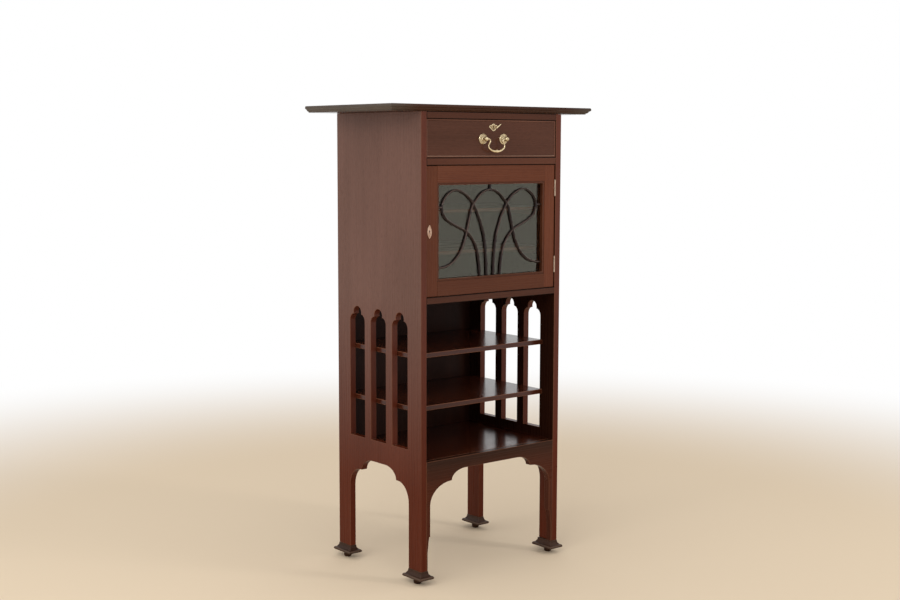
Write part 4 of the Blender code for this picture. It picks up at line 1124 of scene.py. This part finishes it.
# Floor. A plain pale sweep that the cabinet stands on, and no part of it. It fades to white away
# from the cabinet, so that no horizon shows.
floor_size = 60.0
floor_drop = 0.0002
floor_colour = (0.84, 0.68, 0.49)
fade_start = 1.2
fade_end = 3.2
bpy.ops.object.select_all(action="DESELECT")
bpy.ops.mesh.primitive_plane_add(size=floor_size, location=(0, 0, cad_box[0][2] - floor_drop))
floor = bpy.context.object
floor.name = "studio_floor"
sweep = bpy.data.materials.new("studio_floor")
sweep.use_nodes = True
sweep_nodes = sweep.node_tree.nodes
sweep_shader = sweep_nodes["Principled BSDF"]
sweep_shader.inputs["Base Color"].default_value = (*floor_colour, 1)
sweep_shader.inputs["Roughness"].default_value = 0.75
sweep_shader.inputs["Specular IOR Level"].default_value = 0.2
sweep_place = sweep_nodes.new("ShaderNodeTexCoord")
sweep_reach = sweep_nodes.new("ShaderNodeVectorMath")
sweep_reach.operation = "LENGTH"
sweep_fade = sweep_nodes.new("ShaderNodeMapRange")
sweep_fade.interpolation_type = "SMOOTHSTEP"
sweep_fade.inputs["From Min"].default_value = fade_start
sweep_fade.inputs["From Max"].default_value = fade_end
white = sweep_nodes.new("ShaderNodeEmission")
blend = sweep_nodes.new("ShaderNodeMixShader")
sweep_links = sweep.node_tree.links
sweep_links.new(sweep_place.outputs["Object"], sweep_reach.inputs[0])
sweep_links.new(sweep_reach.outputs["Value"], sweep_fade.inputs["Value"])
sweep_links.new(sweep_fade.outputs["Result"], blend.inputs["Fac"])
sweep_links.new(sweep_shader.outputs["BSDF"], blend.inputs[1])
sweep_links.new(white.outputs["Emission"], blend.inputs[2])
sweep_links.new(blend.outputs["Shader"], sweep_nodes["Material Output"].inputs["Surface"])
floor.data.materials.append(sweep)

# Light. A wide soft window on the left and a small one in front, which the varnish doesn't mirror,
# one that it does, and an even room that camera, varnish and glass see as plain white.
room_strength = 0.70
room = bpy.data.worlds.new("white_room")
bpy.context.scene.world = room
room.use_nodes = True
room_nodes = room.node_tree.nodes
room_links = room.node_tree.links
room_light = room_nodes["Background"]
room_light.inputs["Color"].default_value = (1, 1, 1, 1)
room_light.inputs["Strength"].default_value = room_strength
room_white = room_nodes.new("ShaderNodeBackground")
room_white.inputs["Color"].default_value = (1, 1, 1, 1)
ray = room_nodes.new("ShaderNodeLightPath")
seen = room_nodes.new("ShaderNodeMath")
seen.operation = "MAXIMUM"
seen_all = room_nodes.new("ShaderNodeMath")
seen_all.operation = "MAXIMUM"
room_mix = room_nodes.new("ShaderNodeMixShader")
room_links.new(ray.outputs["Is Camera Ray"], seen.inputs[0])
room_links.new(ray.outputs["Is Glossy Ray"], seen.inputs[1])
room_links.new(seen.outputs[0], seen_all.inputs[0])
room_links.new(ray.outputs["Is Transmission Ray"], seen_all.inputs[1])
room_links.new(seen_all.outputs[0], room_mix.inputs["Fac"])
room_links.new(room_light.outputs["Background"], room_mix.inputs[1])
room_links.new(room_white.outputs["Background"], room_mix.inputs[2])
room_links.new(room_mix.outputs["Shader"], room_nodes["World Output"].inputs["Surface"])

lamps = (
    ("left_window", (-2.6, -0.4, 2.1), (0, 0, 0.7), 2.4, 25, False),
    ("front_fill", (1.5, -2.6, 2.1), (0, 0, 0.8), 0.4, 15, False),
    ("small_window", (-2.0, -1.7, 1.9), (0, 0, 1.0), 0.5, 8, True),
)  # name, place, aim, size, watts and whether surfaces mirror it
for name, place, aim, size, power, mirrored in lamps:
    lamp = bpy.data.lights.new(name, "AREA")
    lamp.shape = "SQUARE"
    lamp.size = size
    lamp.energy = power
    stand = bpy.data.objects.new(name, lamp)
    bpy.context.scene.collection.objects.link(stand)
    stand.location = place
    stand.rotation_euler = (Vector(aim) - Vector(place)).to_track_quat("-Z", "Y").to_euler()
    stand.visible_glossy = mirrored
    stand.visible_transmission = False

# Camera. It stands at the photograph's viewing angle, to the left of the front and a little below
# the cabinet's top.
camera_place = (-2.25835, -2.7466, 1.06703)
camera_turn = (83.6608, -0.1373, -39.4308)  # degrees
camera = bpy.data.objects.new("camera", bpy.data.cameras.new("camera"))
bpy.context.scene.collection.objects.link(camera)
camera.location = camera_place
camera.rotation_euler = [math.radians(angle) for angle in camera_turn]
camera.data.lens = 55.38
camera.data.sensor_width = 36.0
bpy.context.scene.camera = camera
bpy.context.scene.view_settings.view_transform = "Standard"
